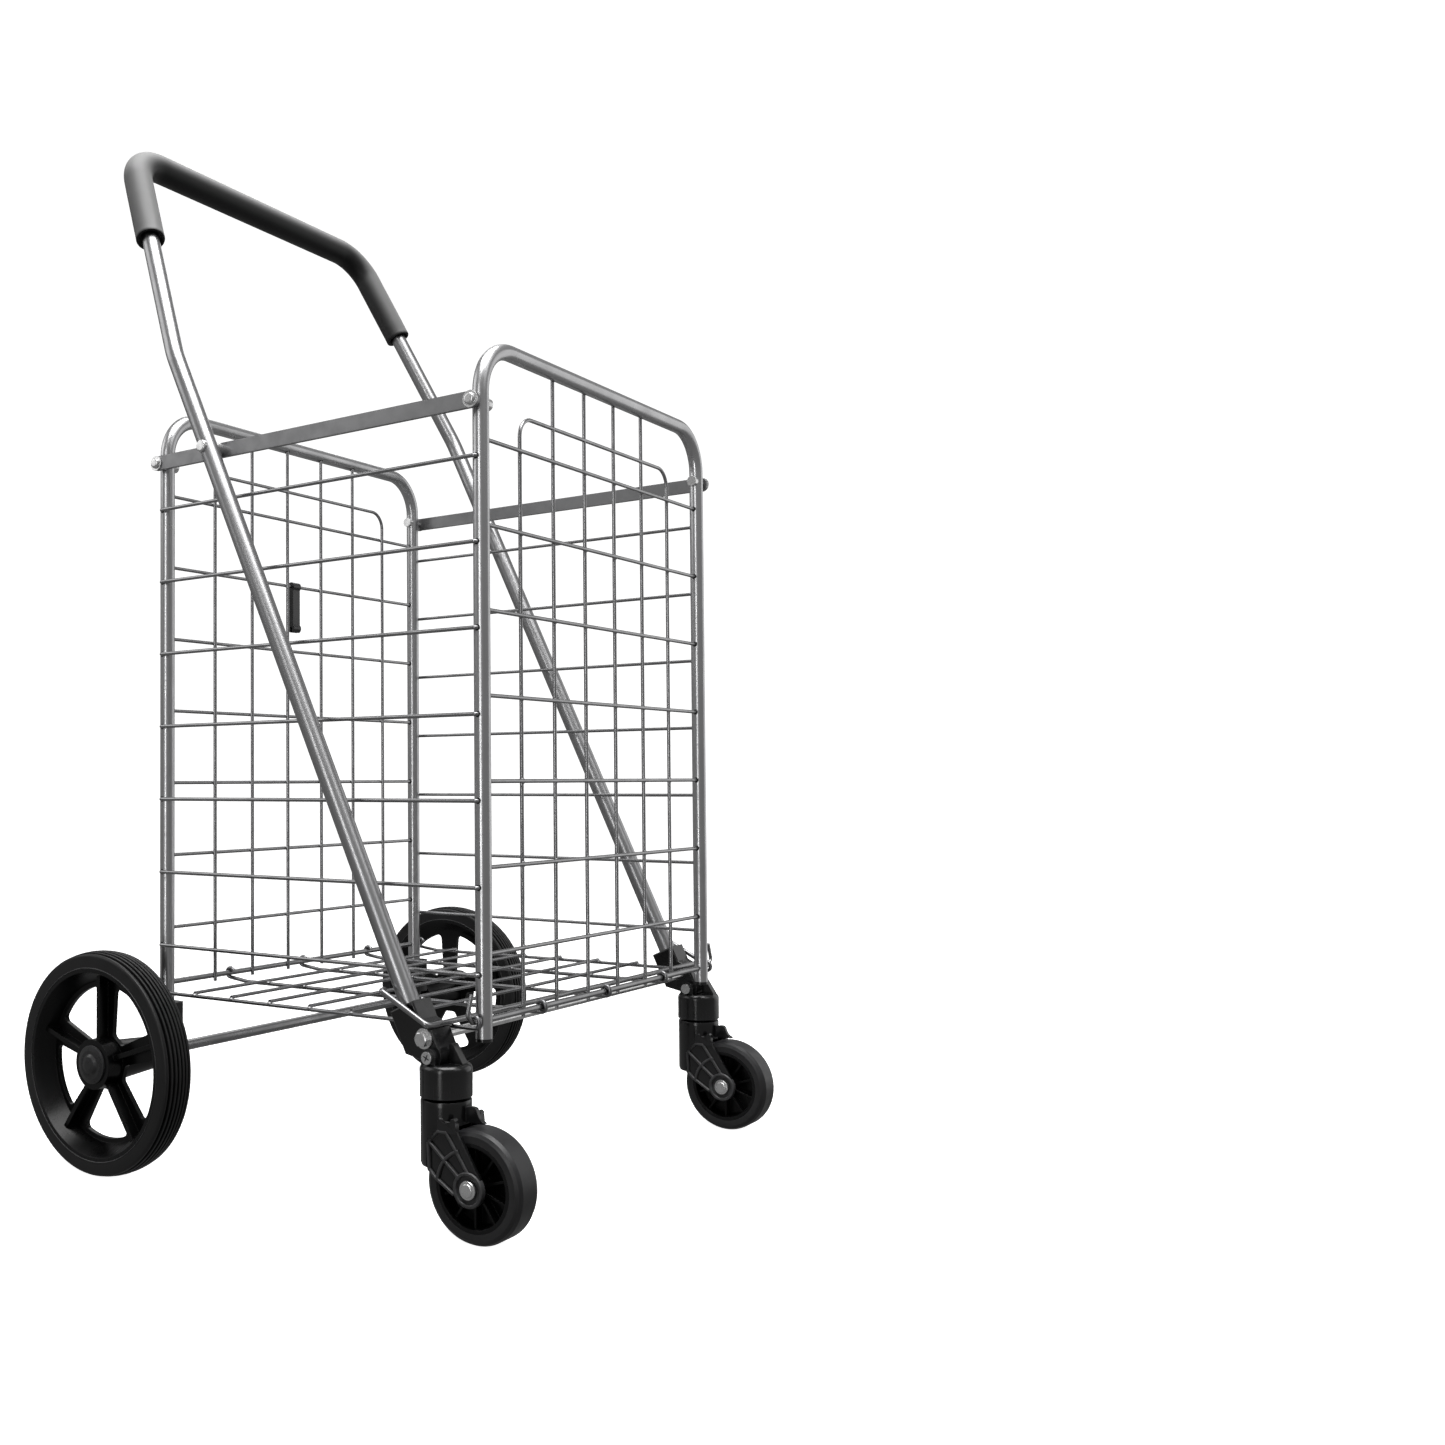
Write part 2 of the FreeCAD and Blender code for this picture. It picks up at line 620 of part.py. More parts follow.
def rear_rim():
    """The rim of the +x rear wheel: deep ring, ribbed spokes, flanged hub and long barrel."""
    low = WHEEL_OUT - WHEEL_W
    web_in = low + WEB_IN
    web_out = web_in + WEB_T
    dish = WINDOW_R + DISH
    bore = AXLE_R + RUN
    ring = [(low, TYRE_SEAT_R), (WHEEL_OUT, TYRE_SEAT_R), (WHEEL_OUT, TYRE_SEAT_R - RIM_WALL)]
    ring += [(web_out, dish), (web_out, bore), (web_in, bore), (web_in, dish), (low, TYRE_SEAT_R - RIM_WALL)]
    shape = turned(ring, 0, AXLE_DROP)
    sector = 2.0 * math.pi / SPOKES
    windows = [rim_window(low, math.pi / 2.0 + sector * (spoke + 0.5)) for spoke in range(SPOKES)]
    shape = shape.cut(Part.makeCompound(windows))
    hub_face = WHEEL_OUT - CAP_SEAT
    hub = turned([(web_in, bore), (hub_face, bore), (hub_face, HUB_R), (web_in, HUB_R)], 0, AXLE_DROP)
    cone = [(HUB_IN, bore), (web_in, bore), (web_in, BARREL_R + BARREL_FLARE), (HUB_IN, BARREL_R)]
    parts = [shape, hub, turned(cone, 0, AXLE_DROP)]
    for spoke in range(SPOKES):
        high = at(WHEEL_OUT - RIB_LOW, RIB_HALF, WINDOW_R + RIB_PAST)
        rib = block(at(web_out - WELD, -RIB_HALF, HUB_R - RIB_HALF), high)
        rib.translate(at(0, 0, AXLE_DROP))
        rib.rotate(at(0, 0, AXLE_DROP), AXIS_X, math.degrees(sector) * spoke)
        parts.append(rib)
    return one(parts).cut(disc(bore, HUB_IN, WHEEL_OUT, 0, AXLE_DROP))


def hub_cap():
    """The domed cap that keeps the +x rear wheel on its axle."""
    base = WHEEL_OUT - CAP_SEAT
    outline = [(base + high, CAP_R * share) for high, share in CAP_STEPS]
    return turned(outline, 0, AXLE_DROP)


# ---- handle
def handle_half():
    """Centreline corners of the handle's +x half, from the foot of the leg to the middle of the grip."""
    return [along_leg(LEG_X, -LEG_END), along_leg(LEG_X, KINK_UP), along_leg(GRIP_HALF, HANDLE_UP)]


def handle_route(start):
    """Handle centreline from a start on the +x leg over the grip to the same place on the other leg."""
    near = start
    far = [at(-point.x, point.y, point.z) for point in reversed(near)]
    return near + far


def handle_tube():
    """The U handle: one tube, kinked inwards above the basket and bent across under the grip."""
    path = varied_path(handle_route(handle_half()), (KINK_BEND, GRIP_BEND, GRIP_BEND, KINK_BEND))
    tube = sweep(path, LEG_R).cut(sweep(path, LEG_R - LEG_WALL))
    hole = disc(RIVET_R, LEG_X - 2 * LEG_R, LEG_X + 2 * LEG_R, LEG_PIVOT_Y, BAR_Z)
    return tube.cut(Part.makeCompound([hole, mirrored(hole)]))


def grip():
    """The foam grip, round the top run and down both sides."""
    corner = along_leg(GRIP_HALF, HANDLE_UP)
    below = along_leg(LEG_X, KINK_UP).sub(corner).normalize()
    route = handle_route([corner.add(below * GRIP_SIDE), corner])
    path = bent_path(route, GRIP_BEND)
    return sweep(path, GRIP_R).cut(sweep(path, LEG_R))


def handle_rivets():
    """The rivets and bushes that hinge the handle legs on the top bars."""
    rivets = []
    for side in (-1, 1):
        shank = disc(RIVET_R, BAR_IN + RUN, LEG_X + LEG_R, LEG_PIVOT_Y, BAR_Z)
        bush = disc(BUSH_R, BAR_OUT + RUN, LEG_X - LEG_R + NUT_SEAT, LEG_PIVOT_Y, BAR_Z)
        leg = rod(along_leg(LEG_X, -KINK_UP / 2), along_leg(LEG_X, KINK_UP / 2), LEG_R)
        bush = bush.cut(leg)
        face = LEG_X + LEG_R + RIVET_HEAD_T
        head = disc(RIVET_HEAD_R, face - RIVET_SEAT, face, LEG_PIVOT_Y, BAR_Z)
        head = head.makeFillet(RIVET_DOME, edges_at_x(head, face)).cut(leg)
        rivets.append(on_side(one([shank, bush, head]), side))
    return Part.makeCompound(rivets)


def socket():
    """The moulded socket of the +x leg, with the knuckle that the caster tilts on."""
    front = LEG_R + SOCKET_FRONT
    back = -LEG_R - SOCKET_BACK
    lip = CROSS_ROD_FWD + KNUCKLE_R
    outline = [(SOCKET_UP, back), (SOCKET_UP, front), (SOCKET_UP - SOCKET_MOUTH, front), (SOCKET_SLOPE, lip)]
    outline += [(-KNUCKLE_DOWN, lip), (-KNUCKLE_DOWN, lip - 2 * KNUCKLE_R), (-SOCKET_SLOPE, back)]
    points = [along_leg(0, up - CROSS_ROD_AT, fwd) for up, fwd in outline]
    body = prism([(p.y, p.z) for p in points], LEG_X - SOCKET_HALF, LEG_X + SOCKET_HALF)
    rounded = edges_at_x(body, LEG_X + SOCKET_HALF) + edges_at_x(body, LEG_X - SOCKET_HALF)
    body = body.makeFillet(SOCKET_ROUND, rounded)
    knuckle = disc(KNUCKLE_R, LEG_X - SOCKET_HALF, LEG_X + SOCKET_HALF, KNUCKLE.y, KNUCKLE.z)
    body = one([body, knuckle])
    bores = [rod(along_leg(LEG_X, -LEG_END), along_leg(LEG_X, -LEG_END + 2 * SOCKET_UP), LEG_R)]
    bores.append(disc(CROSS_ROD_R, 0, 2 * LEG_X, CROSS_ROD.y, CROSS_ROD.z))
    bores.append(disc(TILT_PIN_R + RUN, 0, 2 * LEG_X, KNUCKLE.y, KNUCKLE.z))
    return body.cut(Part.makeCompound(bores))


def cross_rod():
    """The rod that ties the two legs, with a washer and hexagon head outside each socket."""
    end = LEG_X + SOCKET_HALF
    parts = [disc(CROSS_ROD_R, -end, end, CROSS_ROD.y, CROSS_ROD.z)]
    for side in (-1, 1):
        washer = disc(WASHER_R, end, end + WASHER_T, CROSS_ROD.y, CROSS_ROD.z)
        corner_r = HEX_AF / math.sqrt(3)
        hexagon = []
        for corner in range(6):
            turn = math.radians(60 * corner)
            across, up = corner_r * math.cos(turn), corner_r * math.sin(turn)
            hexagon.append((CROSS_ROD.y + across, CROSS_ROD.z + up))
        face = end + WASHER_T + HEX_T
        head = prism(hexagon, end + WASHER_T, face)
        cone = [(end, 0), (end, corner_r), (face - HEX_CHAMFER, corner_r)]
        cone += [(face, corner_r - 2 * HEX_CHAMFER), (face, 0)]
        head = head.common(turned(cone, CROSS_ROD.y, CROSS_ROD.z))
        parts += [on_side(washer, side), on_side(head, side)]
    return one(parts)


# ---- casters
def caster_cup():
    """The swivel housing of the +x caster: a domed cup with ears for the tilt pin and a stop rib."""
    body = Part.makeCylinder(CUP_R, CUP_TOP - CUP_FOOT, at(LEG_X, SWIVEL_Y, CUP_FOOT), AXIS_Z)
    rim = [edge for edge in body.Edges if abs(edge.CenterOfMass.z - CUP_TOP) < NEAR]
    body = body.makeFillet(CUP_DOME, rim)
    parts = [body]
    for side in (-1, 1):
        low = LEG_X + side * (SOCKET_HALF + EAR_GAP)
        high = low + side * EAR_T
        parts.append(disc(EAR_R, min(low, high), max(low, high), KNUCKLE.y, KNUCKLE.z))
        foot = at(min(low, high), KNUCKLE.y - EAR_R, CUP_TOP - CUP_DOME)
        parts.append(block(foot, at(max(low, high), KNUCKLE.y + EAR_R, KNUCKLE.z)))
    front = KNUCKLE.y - KNUCKLE_R - STOP_GAP
    rib = [(front - ahead, CUP_TOP + up) for ahead, up in STOP_RIB]
    parts.append(prism(rib, LEG_X - STOP_HALF, LEG_X + STOP_HALF))
    body = one(parts)
    half = SOCKET_HALF + EAR_GAP
    pocket = disc(KNUCKLE_R + POCKET_GAP, LEG_X - half, LEG_X + half, KNUCKLE.y, KNUCKLE.z)
    pin = disc(TILT_PIN_R, 0, 2 * LEG_X, KNUCKLE.y, KNUCKLE.z)
    stem = Part.makeCylinder(STEM_R + RUN, STEM_UP + SWIVEL_GAP, at(LEG_X, SWIVEL_Y, CUP_FOOT), AXIS_Z)
    return body.cut(Part.makeCompound([pocket, pin, stem]))


def tilt_pin():
    """The pin of the +x caster's knuckle, with a screw head outside and a riveted end inside."""
    ear = SOCKET_HALF + EAR_GAP + EAR_T
    parts = [disc(TILT_PIN_R, LEG_X - ear, LEG_X + ear, KNUCKLE.y, KNUCKLE.z)]
    parts.append(disc(TILT_HEAD_R, LEG_X + ear, LEG_X + ear + TILT_HEAD_T, KNUCKLE.y, KNUCKLE.z))
    parts.append(disc(TILT_HEAD_R, LEG_X - ear - TILT_HEAD_T, LEG_X - ear, KNUCKLE.y, KNUCKLE.z))
    return one(parts)


def caster_stem():
    """The steel stem that the +x fork swivels on."""
    foot = CUP_FOOT - SWIVEL_GAP - STEM_DOWN
    return Part.makeCylinder(STEM_R, STEM_UP + SWIVEL_GAP + STEM_DOWN, at(LEG_X, SWIVEL_Y, foot), AXIS_Z)


def fork_plate_outline():
    """Outline of a fork plate as a face across the cart: crown, slanting arm and axle boss."""
    top = CUP_FOOT - SWIVEL_GAP - ARM_DOWN
    rear = SWIVEL_Y + FORK_R - ARM_IN
    boss = BOSS_R - ARM_SINK
    arm = [(rear, top), (rear, FORK_FOOT), (rear - ARM_CUT, FORK_FOOT - ARM_IN)]
    arm += [(CASTER_AXLE_Y + ARM_CUT, CASTER_AXLE_Z - boss), (CASTER_AXLE_Y - ARM_CUT, CASTER_AXLE_Z + boss)]
    arm.append((SWIVEL_Y - FORK_R + ARM_IN, top))
    return arm


def caster_fork():
    """The moulded fork of the +x caster: round crown, two ribbed arms and a short horn over the wheel."""
    top = CUP_FOOT - SWIVEL_GAP
    crown = Part.makeCylinder(FORK_R, top - FORK_FOOT, at(LEG_X, SWIVEL_Y, FORK_FOOT), AXIS_Z)
    inner = CASTER_W / 2.0 + FORK_GAP
    outer = inner + PLATE_T
    parts = [crown]
    pockets = []
    for side in (-1, 1):
        low = LEG_X + min(side * inner, side * outer)
        high = LEG_X + max(side * inner, side * outer)
        parts.append(prism(fork_plate_outline(), low, high))
        parts.append(disc(BOSS_R, low, high, CASTER_AXLE_Y, CASTER_AXLE_Z))
        face = LEG_X + side * outer
        for pocket in fork_pockets():
            floor = face - side * POCKET_DEEP
            pockets.append(prism(pocket, min(face, floor), max(face, floor)))
    horn = [(SWIVEL_Y - FORK_R - ahead, top - down) for ahead, down in HORN]
    parts.append(prism(horn, LEG_X - HORN_HALF, LEG_X + HORN_HALF))
    shape = one(parts)
    room = disc(CASTER_R + TYRE_ROOM, LEG_X - inner, LEG_X + inner, CASTER_AXLE_Y, CASTER_AXLE_Z)
    stem = Part.makeCylinder(STEM_R, STEM_DOWN, at(LEG_X, SWIVEL_Y, top - STEM_DOWN), AXIS_Z)
    pin = disc(CASTER_AXLE_R, LEG_X - 2 * outer, LEG_X + 2 * outer, CASTER_AXLE_Y, CASTER_AXLE_Z)
    return shape.cut(Part.makeCompound([room, stem, pin] + pockets))


def fork_pockets():
    """Outlines of the pockets between the ribs of a fork arm."""
    front = SWIVEL_Y - FORK_R + POCKET_IN
    top = CUP_FOOT - SWIVEL_GAP - POCKET_DOWN
    outlines = []
    for upper, lower in POCKETS:
        outline = [(front + back, top - down) for back, down in upper]
        outline += [(CASTER_AXLE_Y + back, CASTER_AXLE_Z + up) for back, up in lower]
        outlines.append(outline)
    return outlines


def caster_axle():
    """The bolt that carries the +x caster wheel."""
    outer = CASTER_W / 2.0 + FORK_GAP + PLATE_T
    parts = [disc(CASTER_AXLE_R, LEG_X - outer, LEG_X + outer, CASTER_AXLE_Y, CASTER_AXLE_Z)]
    for side in (-1, 1):
        face = LEG_X + side * outer
        tip = face + side * CASTER_BOLT_T
        head = disc(CASTER_BOLT_R, min(face, tip), max(face, tip), CASTER_AXLE_Y, CASTER_AXLE_Z)
        parts.append(head.makeFillet(CASTER_BOLT_T / 2, edges_at_x(head, tip)))
    return one(parts)


def caster_rim():
    """The moulded rim of the +x caster wheel: ring, web, ribs and hub."""
    half = CASTER_W / 2.0
    low = LEG_X - half
    high = LEG_X + half
    bore = CASTER_AXLE_R + RUN
    ring = CASTER_RIM_R - CASTER_RING
    web = (LEG_X - CASTER_WEB_HALF, LEG_X + CASTER_WEB_HALF)
    outline = [(low, CASTER_RIM_R), (low, ring), (web[0], ring - CASTER_SLOPE), (web[0], CASTER_HUB_R)]
    outline += [(low, CASTER_HUB_R), (low, bore), (high, bore), (high, CASTER_HUB_R)]
    outline += [(web[1], CASTER_HUB_R), (web[1], ring - CASTER_SLOPE), (high, ring), (high, CASTER_RIM_R)]
    parts = [turned(outline, CASTER_AXLE_Y, CASTER_AXLE_Z)]
    centre = at(0, CASTER_AXLE_Y, CASTER_AXLE_Z)
    inner = at(low + CASTER_RIB_LOW, -CASTER_RIB_HALF, CASTER_HUB_R - CASTER_RIB_HALF)
    for step in range(CASTER_RIBS):
        rib = block(inner, at(high - CASTER_RIB_LOW, CASTER_RIB_HALF, ring))
        rib.translate(centre)
        rib.rotate(centre, AXIS_X, 360.0 / CASTER_RIBS * step)
        parts.append(rib)
    return one(parts)


def caster_tyre():
    """The rubber tyre of the +x caster wheel, with rounded shoulders."""
    low = LEG_X - CASTER_W / 2.0
    high = LEG_X + CASTER_W / 2.0
    outline = [(low, CASTER_RIM_R)]
    outline += [(low + width, CASTER_R - down) for width, down in CASTER_SHOULDER]
    outline += [(high - width, CASTER_R - down) for width, down in reversed(CASTER_SHOULDER)]
    outline.append((high, CASTER_RIM_R))
    return turned(outline, CASTER_AXLE_Y, CASTER_AXLE_Z)


# ---- clip
def clip():
    """The clip that hangs on a rear panel wire and snaps over a front panel wire when the cart is folded."""
    z = TOP_WIRE - CLIP_WIRE * PANEL_PITCH
    low = CLIP_X - CLIP_W / 2.0
    high = CLIP_X + CLIP_W / 2.0
    ring = WIRE_R + RUN + CLIP_WALL
    parts = [disc(ring, low, high, 0, z), disc(ring, low, high, 0, z - CLIP_REACH)]
    parts.append(block(at(low, -CLIP_WALL, z - CLIP_REACH), at(high, CLIP_WALL, z)))
    body = one(parts)
    mouth = WIRE_R * 1.5
    cuts = [disc(WIRE_R + RUN, low, high, 0, z), disc(WIRE_R + RUN, low, high, 0, z - CLIP_REACH)]
    cuts.append(block(at(low, -mouth / 2, z - CLIP_REACH - 2 * ring), at(high, mouth / 2, z - CLIP_REACH)))
    return body.cut(Part.makeCompound(cuts))


def build():
    """Make every sub-part."""
    rear = rear_rod()
    front = front_rod()
    keep("rear_rod", rear)
    keep("front_rod", front)
    keep("rear_hoop", hoop(0, REAR_POST_END, rear))
    keep("front_hoop", hoop(-DEPTH, FRONT_POST_END, front))
    keep("rear_panel", panel(0, -1, REAR_POST_END))
    keep("front_panel", panel(-DEPTH, 1, FRONT_POST_END))
    keep("rear_bar_bolts", bar_bolts(0))
    keep("front_bar_bolts", bar_bolts(-DEPTH))
    keep("front_plugs", front_plugs())
    keep("floor_grid", floor_grid())
    keep("lock_wire", lock_wire())
    keep("rear_axle", axle())
    keep("bracket_screws", bracket_screws())
    keep("handle_tube", handle_tube())
    keep("grip", grip())
    keep("handle_rivets", handle_rivets())
    keep("cross_rod", cross_rod())
    keep("fold_clip", clip())
    pairs = {"top_bar": top_bar(), "axle_bracket": bracket(), "rear_rim": rear_rim()}
    pairs.update({"rear_tyre": rear_tyre(), "hub_cap": hub_cap(), "leg_socket": socket()})
    pairs.update({"caster_cup": caster_cup(), "tilt_pin": tilt_pin(), "caster_stem": caster_stem()})
    pairs.update({"caster_fork": caster_fork(), "caster_axle": caster_axle()})
    pairs.update({"caster_rim": caster_rim(), "caster_tyre": caster_tyre()})
    for number, level in enumerate(side_levels(), 1):
        pairs["side_wire_%d" % number] = side_wire(level)
    for name, shape in pairs.items():
        for word, side in SIDES:
            keep("%s_%s" % (name, word), on_side(shape, side))


def write():
    """Move every sub-part to the row's frame and write it."""
    os.makedirs("parts", exist_ok=True)
    for name, shape in NODES.items():
        moved = shape.copy()
        moved.translate(at(0, -CENTRE_Y, -GROUND))
        moved.exportStep("parts/%s.step" % name)


build()
write()
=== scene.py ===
"""Folding wire shopping cart, dressed over its CAD frame and set in a plain white studio.

The frame brings the tubes, wires, bars, mouldings and wheels. This script gives each of them the finish of the real
one, adds the welds, the foam grip and the other small pieces that are only for the eye, and sets the lights and the
camera. Everything is in metres in the cart's own frame: x across, y towards the person pushing, z up from the ground.
"""
from __future__ import annotations

import json
import logging
import math
import random
from dataclasses import dataclass, field
from enum import Enum
from typing import Iterable, Sequence

import bmesh
import bpy
from mathutils import Matrix, Vector, noise

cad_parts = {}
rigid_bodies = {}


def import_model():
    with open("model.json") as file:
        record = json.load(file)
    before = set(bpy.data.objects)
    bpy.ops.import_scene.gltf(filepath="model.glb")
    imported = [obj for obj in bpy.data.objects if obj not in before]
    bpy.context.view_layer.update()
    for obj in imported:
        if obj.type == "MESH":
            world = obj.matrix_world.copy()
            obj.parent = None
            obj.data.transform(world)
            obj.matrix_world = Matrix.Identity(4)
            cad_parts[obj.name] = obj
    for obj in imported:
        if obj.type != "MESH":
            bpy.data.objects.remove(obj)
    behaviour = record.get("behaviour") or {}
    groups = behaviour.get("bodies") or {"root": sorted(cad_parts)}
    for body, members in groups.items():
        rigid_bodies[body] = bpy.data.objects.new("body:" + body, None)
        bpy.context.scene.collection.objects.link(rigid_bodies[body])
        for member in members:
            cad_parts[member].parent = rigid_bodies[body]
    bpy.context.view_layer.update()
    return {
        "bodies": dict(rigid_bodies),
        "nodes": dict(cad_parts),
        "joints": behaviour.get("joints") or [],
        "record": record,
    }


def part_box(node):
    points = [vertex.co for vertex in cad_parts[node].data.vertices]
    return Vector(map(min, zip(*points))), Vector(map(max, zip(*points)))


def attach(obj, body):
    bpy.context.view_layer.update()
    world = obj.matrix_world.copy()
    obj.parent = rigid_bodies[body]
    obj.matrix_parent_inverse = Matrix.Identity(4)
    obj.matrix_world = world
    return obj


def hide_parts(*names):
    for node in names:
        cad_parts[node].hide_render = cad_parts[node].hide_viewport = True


LOG = logging.getLogger("cart")
MM = 0.001
BASKET_ORIGIN = Vector((0.0, 0.154, 0.153))  # middle of the rear bottom rod, in the cart's frame
BASKET_DEPTH = 345.0  # millimetres from the rear posts to the front ones
POINT_RADIUS = 1e-6  # metres: a ring smaller than this is drawn as one point
CREASE_ANGLE = 32.0  # degrees: sharper edges than this stay sharp
NUGGET_SPREAD = (0.88, 1.12)  # how much smaller or larger than drawn a weld comes out
NUGGET_SIDES = 12
MIX_FACTOR, MIX_UNDER, MIX_OVER, MIX_RESULT = 0, 6, 7, 2  # the colour sockets of a mix node

Outline = tuple[tuple[float, float], ...]


class Side(Enum):
    """The two sides of the cart, by the sign of x."""

    RIGHT = -1
    LEFT = 1

    @property
    def tag(self) -> str:
        """The side's word in node names."""
        return self.name.lower()


# ---- materials
def linear(colour: str) -> tuple[float, float, float, float]:
    """Turn an sRGB colour into a linear one.

    Args:
        colour: The hex colour, such as "#a0a4a8".

    Returns:
        Linear red, green, blue and alpha.
    """
    channels = [int(colour[start:start + 2], 16) / 255 for start in (1, 3, 5)]
    red, green, blue = (c / 12.92 if c <= 0.04045 else ((c + 0.055) / 1.055) ** 2.4 for c in channels)
    return red, green, blue, 1.0


def per_metre(size_mm: float) -> float:
    """Texture scale at which one pattern cell is size_mm millimetres across."""
    return 1000.0 / size_mm


def add_node(
    tree: bpy.types.NodeTree, kind: str, inputs: dict | None = None, **settings: object
) -> bpy.types.Node:
    """Add a node to a tree.

    Args:
        tree: The tree that takes the node.
        kind: The node's type name.
        inputs: A value or a socket to link, by input name or index.
        settings: The node's own properties.

    Returns:
        The new node.
    """
    node = tree.nodes.new(kind)
    for name, value in settings.items():
        setattr(node, name, value)
    for name, value in (inputs or {}).items():
        if isinstance(value, bpy.types.NodeSocket):
            tree.links.new(value, node.inputs[name])
        else:
            node.inputs[name].default_value = value
    return node


def blank_tree(owner: bpy.types.Material | bpy.types.World) -> bpy.types.NodeTree:
    """Turn on nodes and clear them.

    Args:
        owner: The material or world that they belong to.

    Returns:
        Its empty tree.
    """
    owner.use_nodes = True
    owner.node_tree.nodes.clear()
    return owner.node_tree


@dataclass(frozen=True)
class Finish:
    """A surface finish: a base colour that clouds softly into a second one, over a fine grain.

    The cloud and grain sizes are real sizes in millimetres. The roughness swings by rough_swing either way with the
    cloud, and the grain stands grain_high millimetres proud. A noise's values bunch round a half, so that the two
    ranges say which of them give the first and the second colour, and the least and the most roughness.
    """

    label: str
    colour: str
    cloud_colour: str
    cloud_mm: float
    grain_mm: float
    grain_high: float
    roughness: float
    rough_swing: float
    metallic: float = 0.0
    specular: float = 0.5
    edge_mm: float = 0.0
    colour_range: tuple[float, float] = (0.35, 0.7)
    rough_range: tuple[float, float] = (0.3, 0.7)
    cloud_detail: float = 3.0
    grain_detail: float = 2.0
    edge_samples: int = 4

    def material(self) -> bpy.types.Material:
        """Return the finish's material, made on the first call."""
        made = bpy.data.materials.get(self.label)
        return made if made else self.make()

    def make(self) -> bpy.types.Material:
        """Make the material and its nodes.

        Returns:
            The material.
        """
        material = bpy.data.materials.new(self.label)
        tree = blank_tree(material)
        place = add_node(tree, "ShaderNodeTexCoord").outputs["Object"]
        shader = add_node(tree, "ShaderNodeBsdfPrincipled", {"Metallic": self.metallic})
        if not self.metallic:
            shader.inputs["Specular IOR Level"].default_value = self.specular
        clouds = {"Vector": place, "Scale": per_metre(self.cloud_mm), "Detail": self.cloud_detail}
        cloud = add_node(tree, "ShaderNodeTexNoise", clouds).outputs["Fac"]
        tree.links.new(self.colouring(tree, cloud), shader.inputs["Base Color"])
        swing = {
            "Value": cloud,
            "From Min": self.rough_range[0],
            "From Max": self.rough_range[1],
            "To Min": self.roughness - self.rough_swing,
            "To Max": self.roughness + self.rough_swing,
        }
        rough = add_node(tree, "ShaderNodeMapRange", swing).outputs["Result"]
        tree.links.new(rough, shader.inputs["Roughness"])
        tree.links.new(self.relief(tree, place), shader.inputs["Normal"])
        self.extras(shader)
        add_node(tree, "ShaderNodeOutputMaterial", {"Surface": shader.outputs["BSDF"]})
        return material

    def colouring(self, tree: bpy.types.NodeTree, cloud: bpy.types.NodeSocket) -> bpy.types.NodeSocket:
        """Mix the two colours by the cloud.

        Args:
            tree: The material's tree.
            cloud: The cloud's value, 0 to 1.

        Returns:
            The colour socket.
        """
        ramp = add_node(tree, "ShaderNodeValToRGB", {"Fac": cloud})
        colours = (self.colour, self.cloud_colour)
        for stop, position, colour in zip(ramp.color_ramp.elements, self.colour_range, colours):
            stop.position, stop.color = position, linear(colour)
        return ramp.outputs["Color"]

    @staticmethod
    def overlay(
        tree: bpy.types.NodeTree, share: bpy.types.NodeSocket, under: bpy.types.NodeSocket, colour: str
    ) -> bpy.types.NodeSocket:
        """Lay one more colour over the surface's.

        Args:
            tree: The material's tree.
            share: How much of the colour shows, 0 to 1.
            under: The colour under it.
            colour: The hex colour to lay over.

        Returns:
            The colour socket.
        """
        colours = {MIX_FACTOR: share, MIX_UNDER: under, MIX_OVER: linear(colour)}
        return add_node(tree, "ShaderNodeMix", colours, data_type="RGBA").outputs[MIX_RESULT]

    def relief(self, tree: bpy.types.NodeTree, place: bpy.types.NodeSocket) -> bpy.types.NodeSocket:
        """Raise the grain, over slightly rounded edges where the finish has them.

        Args:
            tree: The material's tree.
            place: Where on the piece the surface is.

        Returns:
            The normal socket.
        """
        grains = {"Vector": place, "Scale": per_metre(self.grain_mm), "Detail": self.grain_detail}
        grain = add_node(tree, "ShaderNodeTexNoise", grains).outputs["Fac"]
        rise = {"Height": grain, "Strength": 1.0, "Distance": self.grain_high * MM}
        bump = add_node(tree, "ShaderNodeBump", rise)
        if self.edge_mm:
            edge = add_node(tree, "ShaderNodeBevel", {"Radius": self.edge_mm * MM}, samples=self.edge_samples)
            tree.links.new(edge.outputs["Normal"], bump.inputs["Normal"])
        return bump.outputs["Normal"]

    def extras(self, shader: bpy.types.Node) -> None:
        """Set what only this kind of finish has."""


@dataclass(frozen=True)
class Plating(Finish):
    """A plated or drawn metal: fine scuffs break up the mirror without hiding it."""

    metallic: float = 1.0


@dataclass(frozen=True)
class Moulding(Finish):
    """An injection-moulded plastic, paler where handling has rubbed its edges.

    An edge is rubbed from a pointiness of rub_from on, and by rub_most from rub_full on.
    """

    rub_colour: str = "#3a3b3c"
    rub_from: float = 0.53
    rub_full: float = 0.62
    rub_most: float = 0.7

    def colouring(self, tree: bpy.types.NodeTree, cloud: bpy.types.NodeSocket) -> bpy.types.NodeSocket:
        """Mix the moulding's colours, then rub the edges paler.

        Args:
            tree: The material's tree.
            cloud: The cloud's value, 0 to 1.

        Returns:
            The colour socket.
        """
        edge = add_node(tree, "ShaderNodeNewGeometry").outputs["Pointiness"]
        reach = {"Value": edge, "From Min": self.rub_from, "From Max": self.rub_full, "To Max": self.rub_most}
        rubbed = add_node(tree, "ShaderNodeMapRange", reach).outputs["Result"]
        return self.overlay(tree, rubbed, super().colouring(tree, cloud), self.rub_colour)


